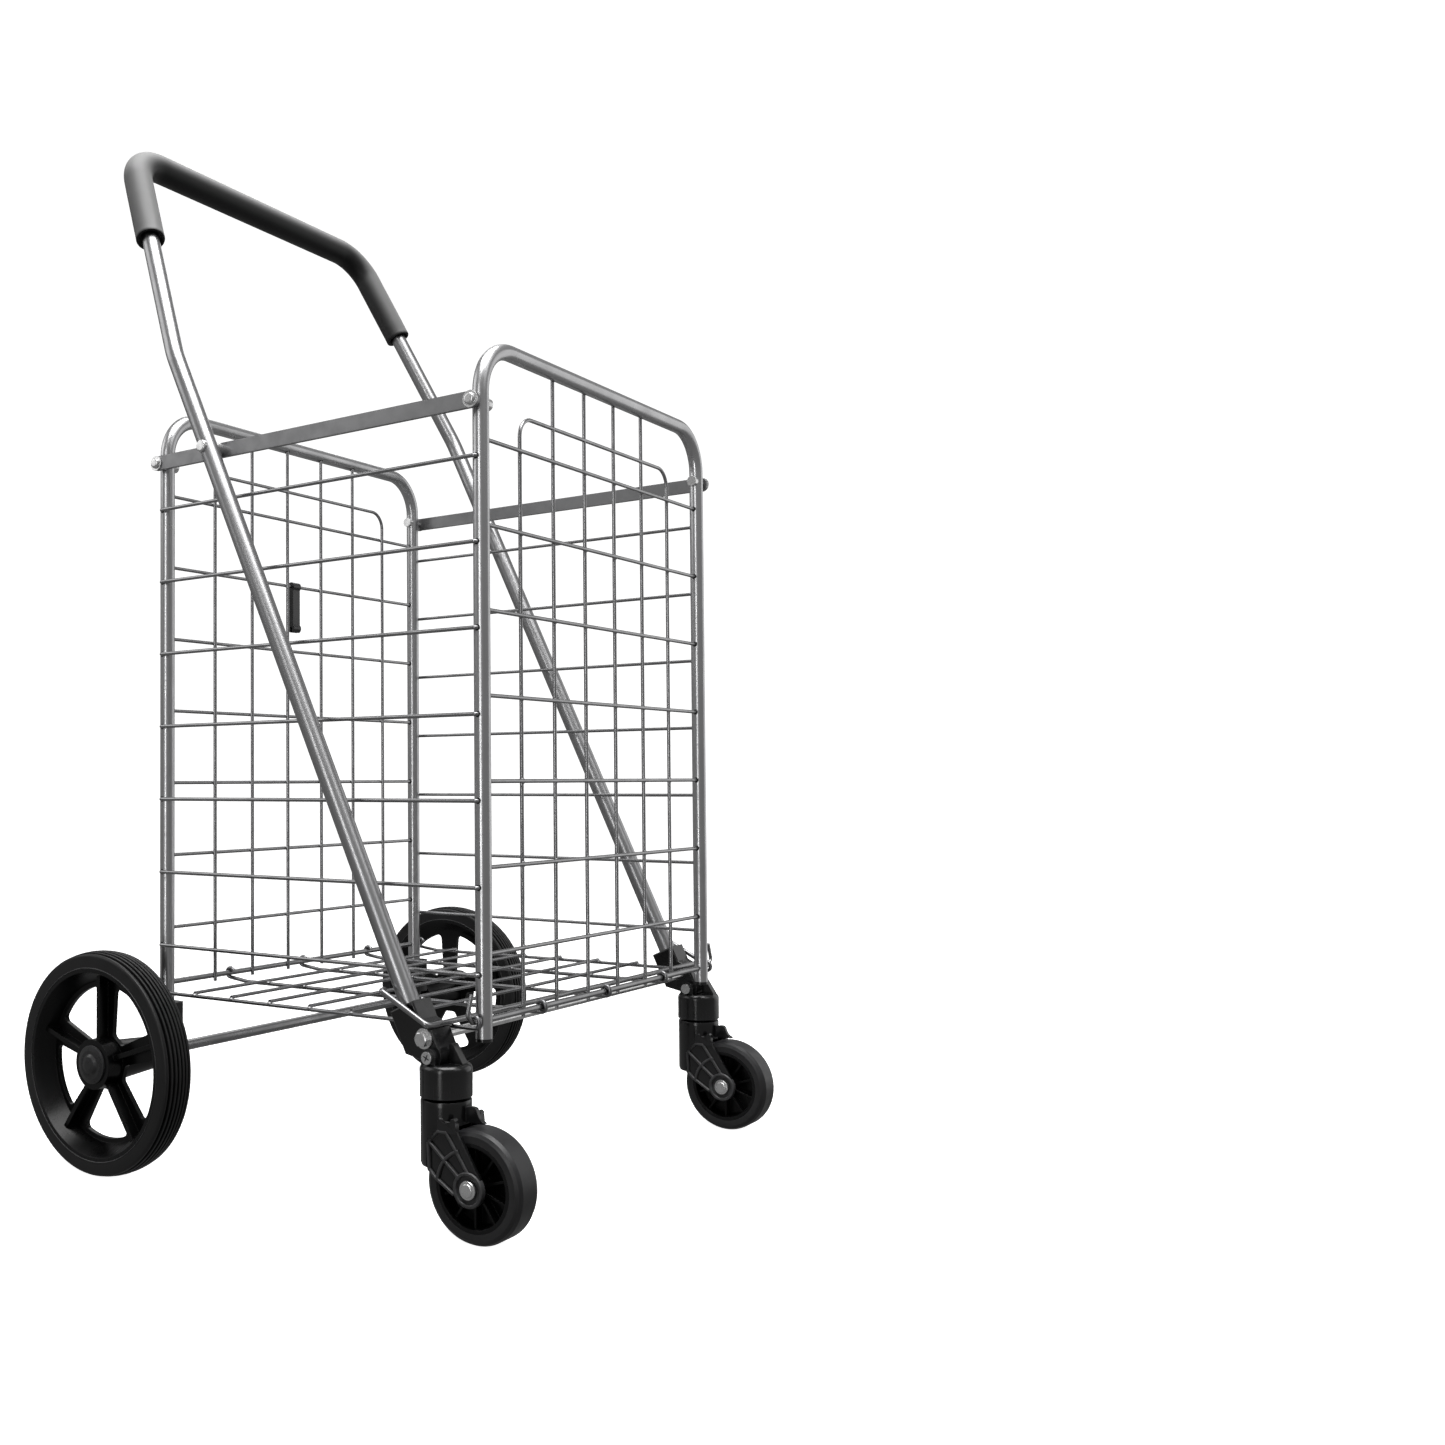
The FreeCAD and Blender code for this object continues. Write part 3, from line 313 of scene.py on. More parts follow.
@dataclass(frozen=True)
class Foam(Finish):
    """A closed-cell foam with a soft sheen along its skin and painted light on top: a pale colour over its
    upward-facing side stands in for light falling from above.

    The painted top light starts where the surface's upward part is fade_from and is whole at fade_full.
    """

    sheen: float = 0.2
    sheen_rough: float = 0.5
    # painted light: this pale colour on upward-facing foam stands in for light falling from above
    faded_colour: str = "#9a9a9a"
    fade_from: float = -0.2
    fade_full: float = 0.9

    def colouring(self, tree: bpy.types.NodeTree, cloud: bpy.types.NodeSocket) -> bpy.types.NodeSocket:
        """Mix the foam's colours, then paint light onto its upper side as a painted highlight from above.

        Args:
            tree: The material's tree.
            cloud: The cloud's value, 0 to 1.

        Returns:
            The colour socket.
        """
        # painted light: the upward part of the normal sets how much pale top light is painted in
        facing = add_node(tree, "ShaderNodeTexCoord").outputs["Normal"]
        up = add_node(tree, "ShaderNodeSeparateXYZ", {"Vector": facing}).outputs["Z"]
        reach = {"Value": up, "From Min": self.fade_from, "From Max": self.fade_full}
        painted_top_light = add_node(tree, "ShaderNodeMapRange", reach, interpolation_type="SMOOTHSTEP").outputs["Result"]
        return self.overlay(tree, painted_top_light, super().colouring(tree, cloud), self.faded_colour)

    def extras(self, shader: bpy.types.Node) -> None:
        """Give the skin its dusty sheen."""
        shader.inputs["Sheen Weight"].default_value = self.sheen
        shader.inputs["Sheen Roughness"].default_value = self.sheen_rough


# Bright-lacquered mild steel tube: a satin grey mirror whose streaks are soft along the tube.
SATIN_TUBE = Plating("silver_lacquered_tube", "#b8b8b9", "#acacad", 30.0, 0.9, 0.003, 0.30, 0.04)
# The same lacquer on the handle's tube, dulled by years of handling.
HANDLE_TUBE = Plating("handled_lacquered_tube", "#a0a0a1", "#949495", 30.0, 0.9, 0.003, 0.32, 0.04)
# Lacquered flat bar, sheared and rolled: duller than the tube, with a faint rolled grain.
FLAT_BAR = Plating("silver_lacquered_flat_bar", "#8c8c8d", "#828283", 16.0, 1.2, 0.008, 0.40, 0.04, edge_mm=0.9)
# Zinc-plated drawn wire: bright but slightly cloudy.
DRAWN_WIRE = Plating("zinc_plated_drawn_wire", "#9a9a9b", "#8c8c8d", 12.0, 0.8, 0.003, 0.24, 0.05)
# The floor's thicker wire from the same bath, duller because goods and grit slide on it.
FLOOR_WIRE = Plating("scuffed_floor_wire", "#868687", "#78787a", 12.0, 0.8, 0.004, 0.27, 0.05)
# Zinc-plated round rod, straightened through rollers: between the wire and the tube.
ROUND_ROD = Plating("zinc_plated_round_rod", "#909091", "#828283", 18.0, 0.9, 0.004, 0.28, 0.05)
# Bright zinc-plated screws, bolts and rivets: the cleanest metal on the cart.
BRIGHT_ZINC = Plating("bright_zinc_fastener", "#dedede", "#cfcfcf", 5.0, 0.5, 0.004, 0.26, 0.05, edge_mm=0.35)
# Weld metal under the plating: the same zinc, but lumpier and a little dull.
WELD_METAL = Plating("plated_weld_metal", "#9e9e9f", "#888889", 2.5, 0.9, 0.04, 0.42, 0.06)
# Painted shade: near black, laid as a ring round a wire at the open gap of its drilled hole and in a screw's driver
# recess, where there is only shadow.
RECESS_SHADE = Moulding("oiled_drill_gap", "#0c0c0c", "#141414", 3.0, 0.6, 0.01, 0.55, 0.05)
# Glass-filled nylon 6 from a spark-eroded mould: near black, half gloss with a fine dull grain.
BLACK_NYLON = Moulding(
    "glass_filled_nylon", "#0a0a0b", "#101011", 9.0, 0.8, 0.008, 0.2, 0.04,
    specular=0.5, edge_mm=0.6, rub_colour="#2b2b2c",
)
# Painted highlight: the same nylon laid on grey on rib crests, boss rings and tyre beads, where their rounded tops
# catch the light.
LIT_NYLON = Moulding(
    "burnished_nylon", "#505051", "#5c5c5d", 5.0, 0.7, 0.01, 0.34, 0.06,
    edge_mm=0.4, rub_colour="#4a4a4b",
)
# Polypropylene rim from a polished mould: black with a smoother, oilier gloss.
BLACK_RIM = Moulding(
    "moulded_polypropylene", "#060606", "#0a0a0b", 22.0, 1.4, 0.010, 0.28, 0.05,
    specular=0.2, edge_mm=0.7, rub_colour="#242425",
)
# Snap-in hub cap from its own mould: a greyer black with a soft gloss, so that it stands out from the hub.
CAP_PLASTIC = Moulding(
    "snap_in_cap", "#2c2c2d", "#343435", 8.0, 0.9, 0.01, 0.3, 0.05,
    edge_mm=0.5, rub_colour="#4a4a4b",
)
# Solid PVC tyre, dull from its talc and slightly dusty.
RIBBED_TYRE = Moulding(
    "solid_pvc_tyre", "#0d0d0e", "#141415", 14.0, 0.9, 0.02, 0.45, 0.07,
    specular=0.35, edge_mm=0.5, rub_colour="#2a2a2a",
)
# Thermoplastic rubber tread, smooth with a soft shine.
CASTER_TREAD = Moulding(
    "thermoplastic_rubber", "#18181a", "#212123", 11.0, 1.0, 0.012, 0.42, 0.06,
    edge_mm=0.4, rub_colour="#353536",
)
# Nitrile foam sleeve: charcoal, matt, with its cells just showing, and painted light from above on its upper side.
GRIP_FOAM = Foam("nitrile_foam", "#1a1a1a", "#202020", 26.0, 1.1, 0.01, 0.5, 0.06, specular=0.22)


# ---- mesh building
def turns(sides: int) -> list[float]:
    """The angles of the corners of a ring."""
    return [2.0 * math.pi * step / sides for step in range(sides)]


def circle(middle: Vector, across: Vector, up: Vector, radius: float, sides: int) -> list[Vector]:
    """Lay points on a circle.

    Args:
        middle: Its centre.
        across: The way to its first point.
        up: The way to the point a quarter round.
        radius: Its radius.
        sides: How many points it has.

    Returns:
        The points, in order.
    """
    return [middle + (across * math.cos(turn) + up * math.sin(turn)) * radius for turn in turns(sides)]


def rounded_route(corners: Sequence[Vector], bend: float, arc_steps: int = 16) -> list[Vector]:
    """Lay a centreline through corners, with every inner corner rounded.

    Args:
        corners: The route's corners.
        bend: Radius of the bends.
        arc_steps: Steps in each bend.

    Returns:
        The points of the centreline.
    """
    route = [corners[0]]
    for before, corner, after in zip(corners, corners[1:], corners[2:]):
        back = (before - corner).normalized()
        ahead = (after - corner).normalized()
        half = back.angle(ahead) / 2.0
        middle = (back + ahead).normalized()
        centre = corner + middle * (bend / math.sin(half))
        start = corner + back * (bend / math.tan(half)) - centre
        end = corner + ahead * (bend / math.tan(half)) - centre
        for step in range(arc_steps + 1):
            route.append(centre + start.normalized().slerp(end.normalized(), step / arc_steps) * bend)
    return route + [corners[-1]]


class Centreline:
    """A centreline that gives a place and a cross-section's axes at any length along it."""

    def __init__(self, points: Sequence[Vector]) -> None:
        """Measure the line and carry its cross-section's axes along without twist.

        Args:
            points: The line's points, in order.
        """
        self.points = list(points)
        self.lengths = [0.0]
        self.axes: list[tuple[Vector, Vector]] = []
        along = (self.points[1] - self.points[0]).normalized()
        first = along.orthogonal().normalized()
        for index, point in enumerate(self.points):
            nearest = self.points[min(index + 1, len(self.points) - 1)] - self.points[max(index - 1, 0)]
            turn = along.rotation_difference(nearest.normalized())
            first = turn @ first
            along = nearest.normalized()
            self.axes.append((first.copy(), along.cross(first)))
            if index:
                self.lengths.append(self.lengths[-1] + (point - self.points[index - 1]).length)

    @property
    def length(self) -> float:
        """The whole length."""
        return self.lengths[-1]

    def ring(self, at: float, radius: float, sides: int) -> list[Vector]:
        """Lay points of a ring round the line.

        Args:
            at: Length along the line.
            radius: The ring's radius.
            sides: How many points it has.

        Returns:
            The ring's points.
        """
        index = 0
        while index < len(self.lengths) - 2 and self.lengths[index + 1] < at:
            index += 1
        share = (at - self.lengths[index]) / (self.lengths[index + 1] - self.lengths[index])
        middle = self.points[index].lerp(self.points[index + 1], share)
        held = min(max(share, 0.0), 1.0)
        across, up = (low.lerp(high, held).normalized() for low, high in zip(self.axes[index], self.axes[index + 1]))
        return circle(middle, across, up, radius, sides)


def skin(mesh: bmesh.types.BMesh, rings: Sequence[Sequence[Vector]]) -> None:
    """Join rings of points into one surface; a ring of one point closes it.

    Args:
        mesh: The mesh that takes the surface.
        rings: The rings, in order.
    """
    made = [[mesh.verts.new(point) for point in ring] for ring in rings]
    for low, high in zip(made, made[1:]):
        for step in range(max(len(low), len(high))):
            after = step + 1
            quad = [low[step % len(low)], low[after % len(low)], high[after % len(high)], high[step % len(high)]]
            mesh.faces.new(list(dict.fromkeys(quad)))


def turned(
    mesh: bmesh.types.BMesh, outline: Sequence[tuple[float, float]], centre: Vector, axis: Vector, sides: int
) -> None:
    """Turn an outline round an axis.

    Args:
        mesh: The mesh that takes the surface.
        outline: Pairs of radius and height along the axis, in metres.
        centre: Where height 0 is.
        axis: The axis' direction.
        sides: Steps round.
    """
    across = axis.orthogonal().normalized()
    up = axis.cross(across).normalized()
    rings = []
    for radius, height in outline:
        middle = centre + axis * height
        rings.append([middle] if radius < POINT_RADIUS else circle(middle, across, up, radius, sides))
    skin(mesh, rings)


def weld_nugget(
    mesh: bmesh.types.BMesh, outline: Outline, centre: Vector, axis: Vector, dice: random.Random
) -> None:
    """Lay a lens of squeezed-out metal over a crossing of two wires, wider or narrower by chance.

    Args:
        mesh: The mesh that takes it.
        outline: Its pairs of radius and height in millimetres.
        centre: The middle of the crossing.
        axis: From one wire to the other.
        dice: Where its width is drawn from.
    """
    grow = dice.uniform(*NUGGET_SPREAD) * MM
    turned(mesh, [(radius * grow, height * MM) for radius, height in outline], centre, axis, NUGGET_SIDES)


def in_scene(name: str, data: bpy.types.ID) -> bpy.types.Object:
    """Make an object and put it in the scene.

    Args:
        name: The object's name.
        data: The mesh, light or camera that it shows.

    Returns:
        The object.
    """
    made = bpy.data.objects.new(name, data)
    bpy.context.scene.collection.objects.link(made)
    return made


def meshed(name: str, mesh: bmesh.types.BMesh, material: bpy.types.Material) -> bpy.types.Object:
    """Turn a mesh into an object in the scene.

    Args:
        name: The object's name.
        mesh: Its mesh, which is used up.
        material: Its material.

    Returns:
        The object.
    """
    data = bpy.data.meshes.new(name)
    mesh.to_mesh(data)
    mesh.free()
    data.materials.append(material)
    return in_scene(name, data)


def soften(piece: bpy.types.Object) -> None:
    """Shade a piece smooth, but for its sharp edges."""
    piece.data.shade_smooth()
    piece.data.set_sharp_from_angle(angle=math.radians(CREASE_ANGLE))


def finished_piece(name: str, mesh: bmesh.types.BMesh, finish: Finish, body: str) -> bpy.types.Object:
    """Turn a mesh into a piece of the cart.

    Args:
        name: The piece's name.
        mesh: Its mesh, which is used up.
        finish: Its finish.
        body: The body that it rides on.

    Returns:
        The piece.
    """
    bmesh.ops.recalc_face_normals(mesh, faces=mesh.faces)
    piece = meshed(name, mesh, finish.material())
    soften(piece)
    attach(piece, body)
    LOG.info("%s: %d faces on %s", name, len(piece.data.polygons), body)
    return piece


def dress(nodes: dict[str, bpy.types.Object], names: Iterable[str], finish: Finish) -> None:
    """Give CAD nodes their finish.

    Args:
        nodes: The frame's nodes by name.
        names: The nodes to dress.
        finish: Their finish.
    """
    for name in names:
        piece = nodes[name]
        piece.data.materials.clear()
        piece.data.materials.append(finish.material())
        soften(piece)
        LOG.info("%s wears %s", name, finish.label)


# ---- sub-assemblies
@dataclass
class WirePanelFrame:
    """One hoop with its welded wire panel: the rear frame or the front one.

    Sizes are in metres from the middle of the bottom rod, but the nugget's pairs of radius and height are in
    millimetres. The uprights lie wire_step inside the level wires, and each side wire enters its post side_drop below
    a level wire. Inward is the way into the basket, by the sign of y.
    """

    nodes: dict[str, bpy.types.Object]
    body: str
    post_y: float
    inward: int
    prefix: str
    post_x: float = 178.0 * MM
    tube_r: float = 6.35 * MM
    wire_r: float = 1.6 * MM
    top_wire: float = 435.5 * MM
    wire_pitch: float = 64.5 * MM
    wire_count: int = 7
    upright_x: tuple[float, ...] = (-0.0735, -0.0245, 0.0245, 0.0735)
    loop_x: float = 122.0 * MM
    hoop_top: float = 508.5 * MM
    wire_step: float = 2.4 * MM
    side_drop: float = 14.5 * MM
    hole_r: float = 2.45 * MM
    hole_sides: int = 20
    hole_proud: float = 0.04 * MM
    wire_overlap: float = 0.9
    nugget: Outline = ((0.0, -1.25), (1.3, -1.1), (2.05, -0.5), (2.3, 0.0), (2.05, 0.5), (1.3, 1.1), (0.0, 1.25))
    seed: int = 11

    def place(self, x: float, y_off: float, z: float) -> Vector:
        """A point by the panel: x across, y_off into the basket, z up from the bottom rod."""
        return BASKET_ORIGIN + Vector((x, self.post_y + self.inward * y_off, z))

    def levels(self) -> list[float]:
        """The heights of the level wires above the bottom rod, from the top one down."""
        return [self.top_wire - step * self.wire_pitch for step in range(self.wire_count)]

    def build(self) -> None:
        """Weld the panel's wires to each other and paint shadow rings where their ends go into the hoop and posts."""
        self.crossings()
        self.drilled_holes()

    def crossings(self) -> None:
        """Weld every crossing of two wires."""
        mesh, dice = bmesh.new(), random.Random(self.seed)
        for x in self.upright_x + (-self.loop_x, self.loop_x):
            for level in [*self.levels(), 0.0]:
                weld_nugget(mesh, self.nugget, self.place(x, self.wire_step / 2, level), Vector((0, 1, 0)), dice)
        finished_piece(self.prefix + "_crossing_welds", mesh, WELD_METAL, self.body)

    def hole_gap(self, mesh: bmesh.types.BMesh, seat: Vector, out: Vector, along: Vector, off: float = 0.0) -> None:
        """Draw painted shadow round one wire where it enters a drilled tube: a dark ring where the open gap holds only
        shade.

        Args:
            mesh: The mesh that takes the ring.
            seat: The tube's centre beside the hole.
            out: From the tube's centre to the hole.
            along: The tube's direction.
            off: How far the wire is to one side of the tube's centre.
        """
        aside = out.cross(along)
        rings = []
        for radius in (self.wire_r * self.wire_overlap, self.hole_r):
            ring = []
            for turn in turns(self.hole_sides):
                wide = off + radius * math.sin(turn)
                high = math.sqrt(self.tube_r**2 - wide**2) + self.hole_proud
                ring.append(seat + out * high + aside * wide + along * (radius * math.cos(turn)))
            rings.append(ring)
        skin(mesh, rings)

    def drilled_holes(self) -> None:
        """Paint shadow rings round the wires' ends, where the open gaps of their holes hold only shade: panel wires in
        the hoop, side wires in the posts' outer faces.
        """
        mesh = bmesh.new()
        up = Vector((0, 0, 1))
        for side in Side:
            for level in self.levels():
                post = self.place(side.value * self.post_x, 0.0, level)
                self.hole_gap(mesh, post, Vector((-side.value, 0, 0)), up)
                self.hole_gap(mesh, post - up * self.side_drop, Vector((side.value, 0, 0)), up)
        for x in self.upright_x:
            top = self.place(x, 0.0, self.hoop_top)
            self.hole_gap(mesh, top, Vector((0, 0, -1)), Vector((1, 0, 0)), -self.inward * self.wire_step)
        # painted shadow: dark rings stand in for the shade inside the holes' gaps
        finished_piece(self.prefix + "_drilled_holes", mesh, RECESS_SHADE, self.body)

    def dress(self) -> None:
        """Finish the hoop, the panel, the rod and the bolts."""
        dress(self.nodes, [self.prefix + "_hoop"], SATIN_TUBE)
        dress(self.nodes, [self.prefix + "_panel"], DRAWN_WIRE)
        dress(self.nodes, [self.prefix + "_rod"], ROUND_ROD)
        dress(self.nodes, [self.prefix + "_bar_bolts"], BRIGHT_ZINC)


@dataclass
class FloorPanel:
    """The hinged wire floor with its locking wire.

    Sizes are in millimetres from the rear rod. The long wires drop by knee_drop at the knee, and rise again until they
    are front_drop down at the front rod.
    """

    nodes: dict[str, bpy.types.Object]
    long_x: tuple[float, ...] = (-189.9, -100.0, 0.0, 100.0, 189.9)
    long_r: float = 1.75
    cross_r: float = 1.5
    weld_in: float = 0.5
    first: float = 48.0
    pitch: float = 44.4
    count: int = 6
    knee: float = 22.0
    knee_drop: float = 6.8
    front_drop: float = 4.2
    nugget: Outline = ((0.0, -1.3), (1.5, -1.15), (2.3, -0.55), (2.6, 0.0), (2.3, 0.55), (1.5, 1.15), (0.0, 1.3))
    seed: int = 23

    def build(self) -> None:
        """Weld the floor's cross wires to its long wires."""
        mesh, dice = bmesh.new(), random.Random(self.seed)
        for step in range(self.count):
            back = self.first + step * self.pitch
            share = (back - self.knee) / (BASKET_DEPTH - self.knee)
            drop = self.knee_drop + (self.front_drop - self.knee_drop) * share
            level = (self.long_r + self.cross_r - self.weld_in) / 2.0 - drop
            for x in self.long_x:
                crossing = BASKET_ORIGIN + Vector((x, -back, level)) * MM
                weld_nugget(mesh, self.nugget, crossing, Vector((0, 0, 1)), dice)
        finished_piece("floor_crossing_welds", mesh, WELD_METAL, "floor_panel")

    def dress(self) -> None:
        """Finish the floor's wires."""
        dress(self.nodes, ["floor_grid"], FLOOR_WIRE)
        dress(self.nodes, ["lock_wire"], ROUND_ROD)


@dataclass
class Linkage:
    """The side wires and the flat top bars that fold the two frames together."""

    nodes: dict[str, bpy.types.Object]
    levels: int = 7

    def dress(self) -> None:
        """Finish the side wires and the bars."""
        for level in range(1, self.levels + 1):
            dress(self.nodes, [f"side_wire_{level}_{side.tag}" for side in Side], DRAWN_WIRE)
        dress(self.nodes, [f"top_bar_{side.tag}" for side in Side], FLAT_BAR)


@dataclass
class Handle:
    """The U handle with its foam grip, rivets, cross rod and leg sockets.

    The lip is the sleeve's end in millimetres, as pairs of length from the end and radius. Each ripple of its skin has
    a scale per metre and a height in millimetres, and none stands more than ripple_most proud.
    """

    nodes: dict[str, bpy.types.Object]
    body: str = "handle_frame"
    lean: float = math.radians(25.6)
    pivot: Vector = field(default_factory=lambda: Vector((0.0, -0.080, 0.462)))
    leg_x: float = 204.0 * MM
    kink_up: float = 97.0 * MM
    handle_up: float = 338.0 * MM
    grip_half: float = 161.5 * MM
    grip_bend: float = 38.0 * MM
    grip_r: float = 13.15 * MM
    grip_side: float = 107.0 * MM
    grip_steps: int = 190
    grip_sides: int = 48
    bend_steps: int = 28
    lip: Outline = (
        (4.0, 8.1), (4.0, 10.2), (1.2, 10.6), (0.2, 11.2), (0.0, 12.1), (0.35, 12.9), (1.3, 13.25), (3.0, 13.2),
    )
    outer_skin: float = 11.5 * MM
    ripples: tuple[tuple[float, float], ...] = ((38.0, 0.14), (160.0, 0.05))
    ripple_most: float = 0.1

    def along(self, x: float, up: float) -> Vector:
        """A point measured up the leaning handle from its pivot."""
        lift = Vector((0.0, math.sin(self.lean), math.cos(self.lean)))
        return BASKET_ORIGIN + self.pivot + Vector((x, 0, 0)) + lift * up

    def build(self) -> None:
        """Make the foam sleeve, with rolled lips at its ends, a shadowed bore and soft ripples in its outer skin."""
        corner = self.along(self.grip_half, self.handle_up)
        below = (self.along(self.leg_x, self.kink_up) - corner).normalized()
        near = [corner + below * self.grip_side, corner]
        far = [Vector((-point.x, point.y, point.z)) for point in reversed(near)]
        line = Centreline(rounded_route(near + far, self.grip_bend, self.bend_steps))
        stations = [(at * MM, radius * MM) for at, radius in self.lip]
        start = stations[-1][0]
        for step in range(1, self.grip_steps):
            stations.append((start + (line.length - 2 * start) * step / self.grip_steps, self.grip_r))
        stations += [(line.length - at * MM, radius * MM) for at, radius in reversed(self.lip)]
        mesh = bmesh.new()
        skin(mesh, [line.ring(at, radius, self.grip_sides) for at, radius in stations])
        for vertex in mesh.verts:
            swell = sum(noise.noise(vertex.co * scale) * high for scale, high in self.ripples)
            out = vertex.co - self.nearest(line, vertex.co)
            if out.length > self.outer_skin:
                vertex.co += out.normalized() * (min(swell, self.ripple_most) * MM)
        grip = finished_piece("foam_grip", mesh, GRIP_FOAM, self.body)
        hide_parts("grip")

    @staticmethod
    def nearest(line: Centreline, place: Vector) -> Vector:
        """The point of a centreline that is nearest a place."""
        return min(line.points, key=lambda point: (point - place).length_squared)

    def dress(self) -> None:
        """Finish the tube, rivets, rod and sockets."""
        dress(self.nodes, ["handle_tube"], HANDLE_TUBE)
        dress(self.nodes, ["handle_rivets", "cross_rod"], BRIGHT_ZINC)
        dress(self.nodes, [f"leg_socket_{side.tag}" for side in Side], BLACK_NYLON)


@dataclass
class CasterFork:
    """The moulded fork of a caster: a round crown, two arms with a lattice of ribs, a boss and a horn.

    Sizes are in millimetres, points are (ahead, up) from the caster's axle, and widths are distances from the middle
    plane of the wheel. The boss and the washer are pairs of radius and distance. The crown's edges are pairs of how
    far in and how far down they are, in shares of its lip. The neck is where the crown is flattened to fit between the
    arms' faces: from neck_back on, and up to neck_top.
    """

    side: Side
    crown_r: float = 19.0
    crown_top: float = 58.2
    crown_foot: float = 11.4
    crown_lip: float = 1.2
    lip_top: Outline = ((1.0, 0.0), (0.3, 0.3), (0.0, 1.0))
    lip_foot: Outline = ((0.7, 0.8), (2.0, 1.2))
    crown_levels: int = 16
    crown_sides: int = 72
    crown_under: tuple[float, ...] = (15.0, 10.0, 5.0)
    neck_back: float = -35.6
    neck_low: float = 28.4
    neck_top: float = 37.8
    neck_inset: float = 0.2
    room_r: float = 43.5
    room_spare: float = 0.1
    arm_in: float = 13.8
    arm_floor: float = 16.3
    arm_flank: float = 17.2
    arm_out: float = 18.5
    tab_out: float = 18.2
    rib_half: float = 1.2
    rib_foot: float = 0.5
    rib_round: float = 0.55
    crest_half: float = 0.7
    crest_drop: float = 0.1
    least_miter: float = 0.6
    ring_rib_r: float = 27.5
    ring_rib_from: float = 108.0
    ring_rib_sweep: float = 66.0
    ring_rib_steps: int = 12
    turned_sides: int = 40
    horn_half: float = 1.7
    boss: Outline = (
        (0.0, 13.8), (12.3, 13.8), (12.7, 14.2), (12.8, 18.3), (12.3, 18.9), (10.6, 18.9), (10.1, 18.4), (9.9, 16.5),
        (7.2, 16.5), (7.0, 18.1), (6.5, 18.4), (0.0, 18.4),
    )
    washer: Outline = ((4.6, 18.4), (6.7, 18.4), (6.8, 18.7), (6.5, 19.2), (5.0, 19.5), (4.6, 19.3))
    flank: Outline = ((-19.2, 37.8), (-10.2, 39.5), (9.8, 8.2), (-0.6, 12.0))
    arm: Outline = (
        (-31.5, 4.2), (-37.2, 9.4), (-40.2, 14.6), (-40.2, 28.6), (-36.4, 33.0), (-27.4, 39.5), (-10.2, 39.5),
        (9.8, 8.2), (-7.6, -10.2),
    )
    tabs: Outline = (
        (-27.4, 37.0), (-26.6, 45.4), (-25.2, 47.0), (-22.9, 46.9), (-21.2, 44.8), (-17.6, 44.6), (-15.8, 45.9),
        (-14.4, 48.2), (-12.4, 48.6), (-11.0, 47.4), (-9.8, 37.4),
    )
    border: Outline = (
        (-12.6, -5.2), (-29.4, 4.6), (-34.8, 9.6), (-35.6, 28.4), (-31.8, 33.2), (-27.2, 37.6), (-19.2, 37.8),
        (-0.6, 12.0),
    )
    spine: Outline = ((-35.2, 29.6), (-8.8, 7.8))
    horn: Outline = (
        (-14.0, 43.0), (-14.0, 53.4), (-9.0, 54.6), (-5.6, 54.6), (-3.9, 53.4), (-2.8, 50.2), (-1.6, 47.8),
        (0.8, 45.6), (3.2, 44.2), (3.0, 43.5),
    )

    def __post_init__(self) -> None:
        """Find the axle and the swivel from the frame."""
        tag = self.side.tag
        low, high = (Vector(corner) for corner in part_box(f"caster_axle_{tag}"))
        self.axle = (low + high) / 2.0
        low, high = (Vector(corner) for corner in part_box(f"caster_stem_{tag}"))
        self.swivel = (self.axle.y - (low.y + high.y) / 2.0) / MM

    def place(self, out: float, ahead: float, up: float) -> Vector:
        """A point by its distance from the wheel's middle plane, and ahead of and above the axle."""
        return self.axle + Vector((out, -ahead, up)) * MM

    def build(self) -> None:
        """Mould the fork."""
        mesh, crests, washers = bmesh.new(), bmesh.new(), bmesh.new()
        self.crown(mesh)
        self.slab(mesh, self.horn, -self.horn_half, self.horn_half)
        for way in (-1.0, 1.0):
            self.slab(mesh, self.arm, way * self.arm_in, way * self.arm_floor)
            self.slab(mesh, self.flank, way * self.arm_in, way * self.arm_flank)
            self.slab(mesh, self.tabs, way * self.arm_in, way * self.tab_out)
            for path in (self.border, self.spine, self.ring_path()):
                self.rib(crests, path, way)
            for outline, target in ((self.boss, crests), (self.washer, washers)):
                scaled = [(radius * MM, height * MM) for radius, height in outline]
                turned(target, scaled, self.axle, Vector((way, 0, 0)), self.turned_sides)
        tag = self.side.tag
        fork = finished_piece(f"moulded_fork_{tag}", mesh, BLACK_NYLON, f"caster_fork_{tag}")
        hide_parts(f"caster_fork_{tag}")
        # painted highlight: ribs and boss rings are painted grey for the light their crests catch
        finished_piece(f"fork_ribs_{tag}", crests, LIT_NYLON, f"caster_fork_{tag}")
        finished_piece(f"axle_washers_{tag}", washers, BRIGHT_ZINC, f"caster_fork_{tag}")

    def ring_path(self) -> list[tuple[float, float]]:
        """Lay out the lattice's curved rib, concentric with the axle.

        Returns:
            Its middle line as (ahead, up).
        """
        shares = [step / self.ring_rib_steps for step in range(self.ring_rib_steps + 1)]
        angles = [math.radians(self.ring_rib_from + self.ring_rib_sweep * share) for share in shares]
        return [(self.ring_rib_r * math.cos(angle), self.ring_rib_r * math.sin(angle)) for angle in angles]

    def slab(self, mesh: bmesh.types.BMesh, outline: Outline, low: float, high: float) -> None:
        """Add a flat slab.

        Args:
            mesh: The mesh that takes it.
            outline: Its corners as (ahead, up).
            low: One face's distance from the middle plane.
            high: The other face's.
        """
        faces = [[mesh.verts.new(self.place(out, ahead, up)) for ahead, up in outline] for out in (low, high)]
        mesh.faces.new(faces[0])
        mesh.faces.new(faces[1])
        for step in range(len(outline)):
            after = (step + 1) % len(outline)
            mesh.faces.new([faces[0][step], faces[0][after], faces[1][after], faces[1][step]])

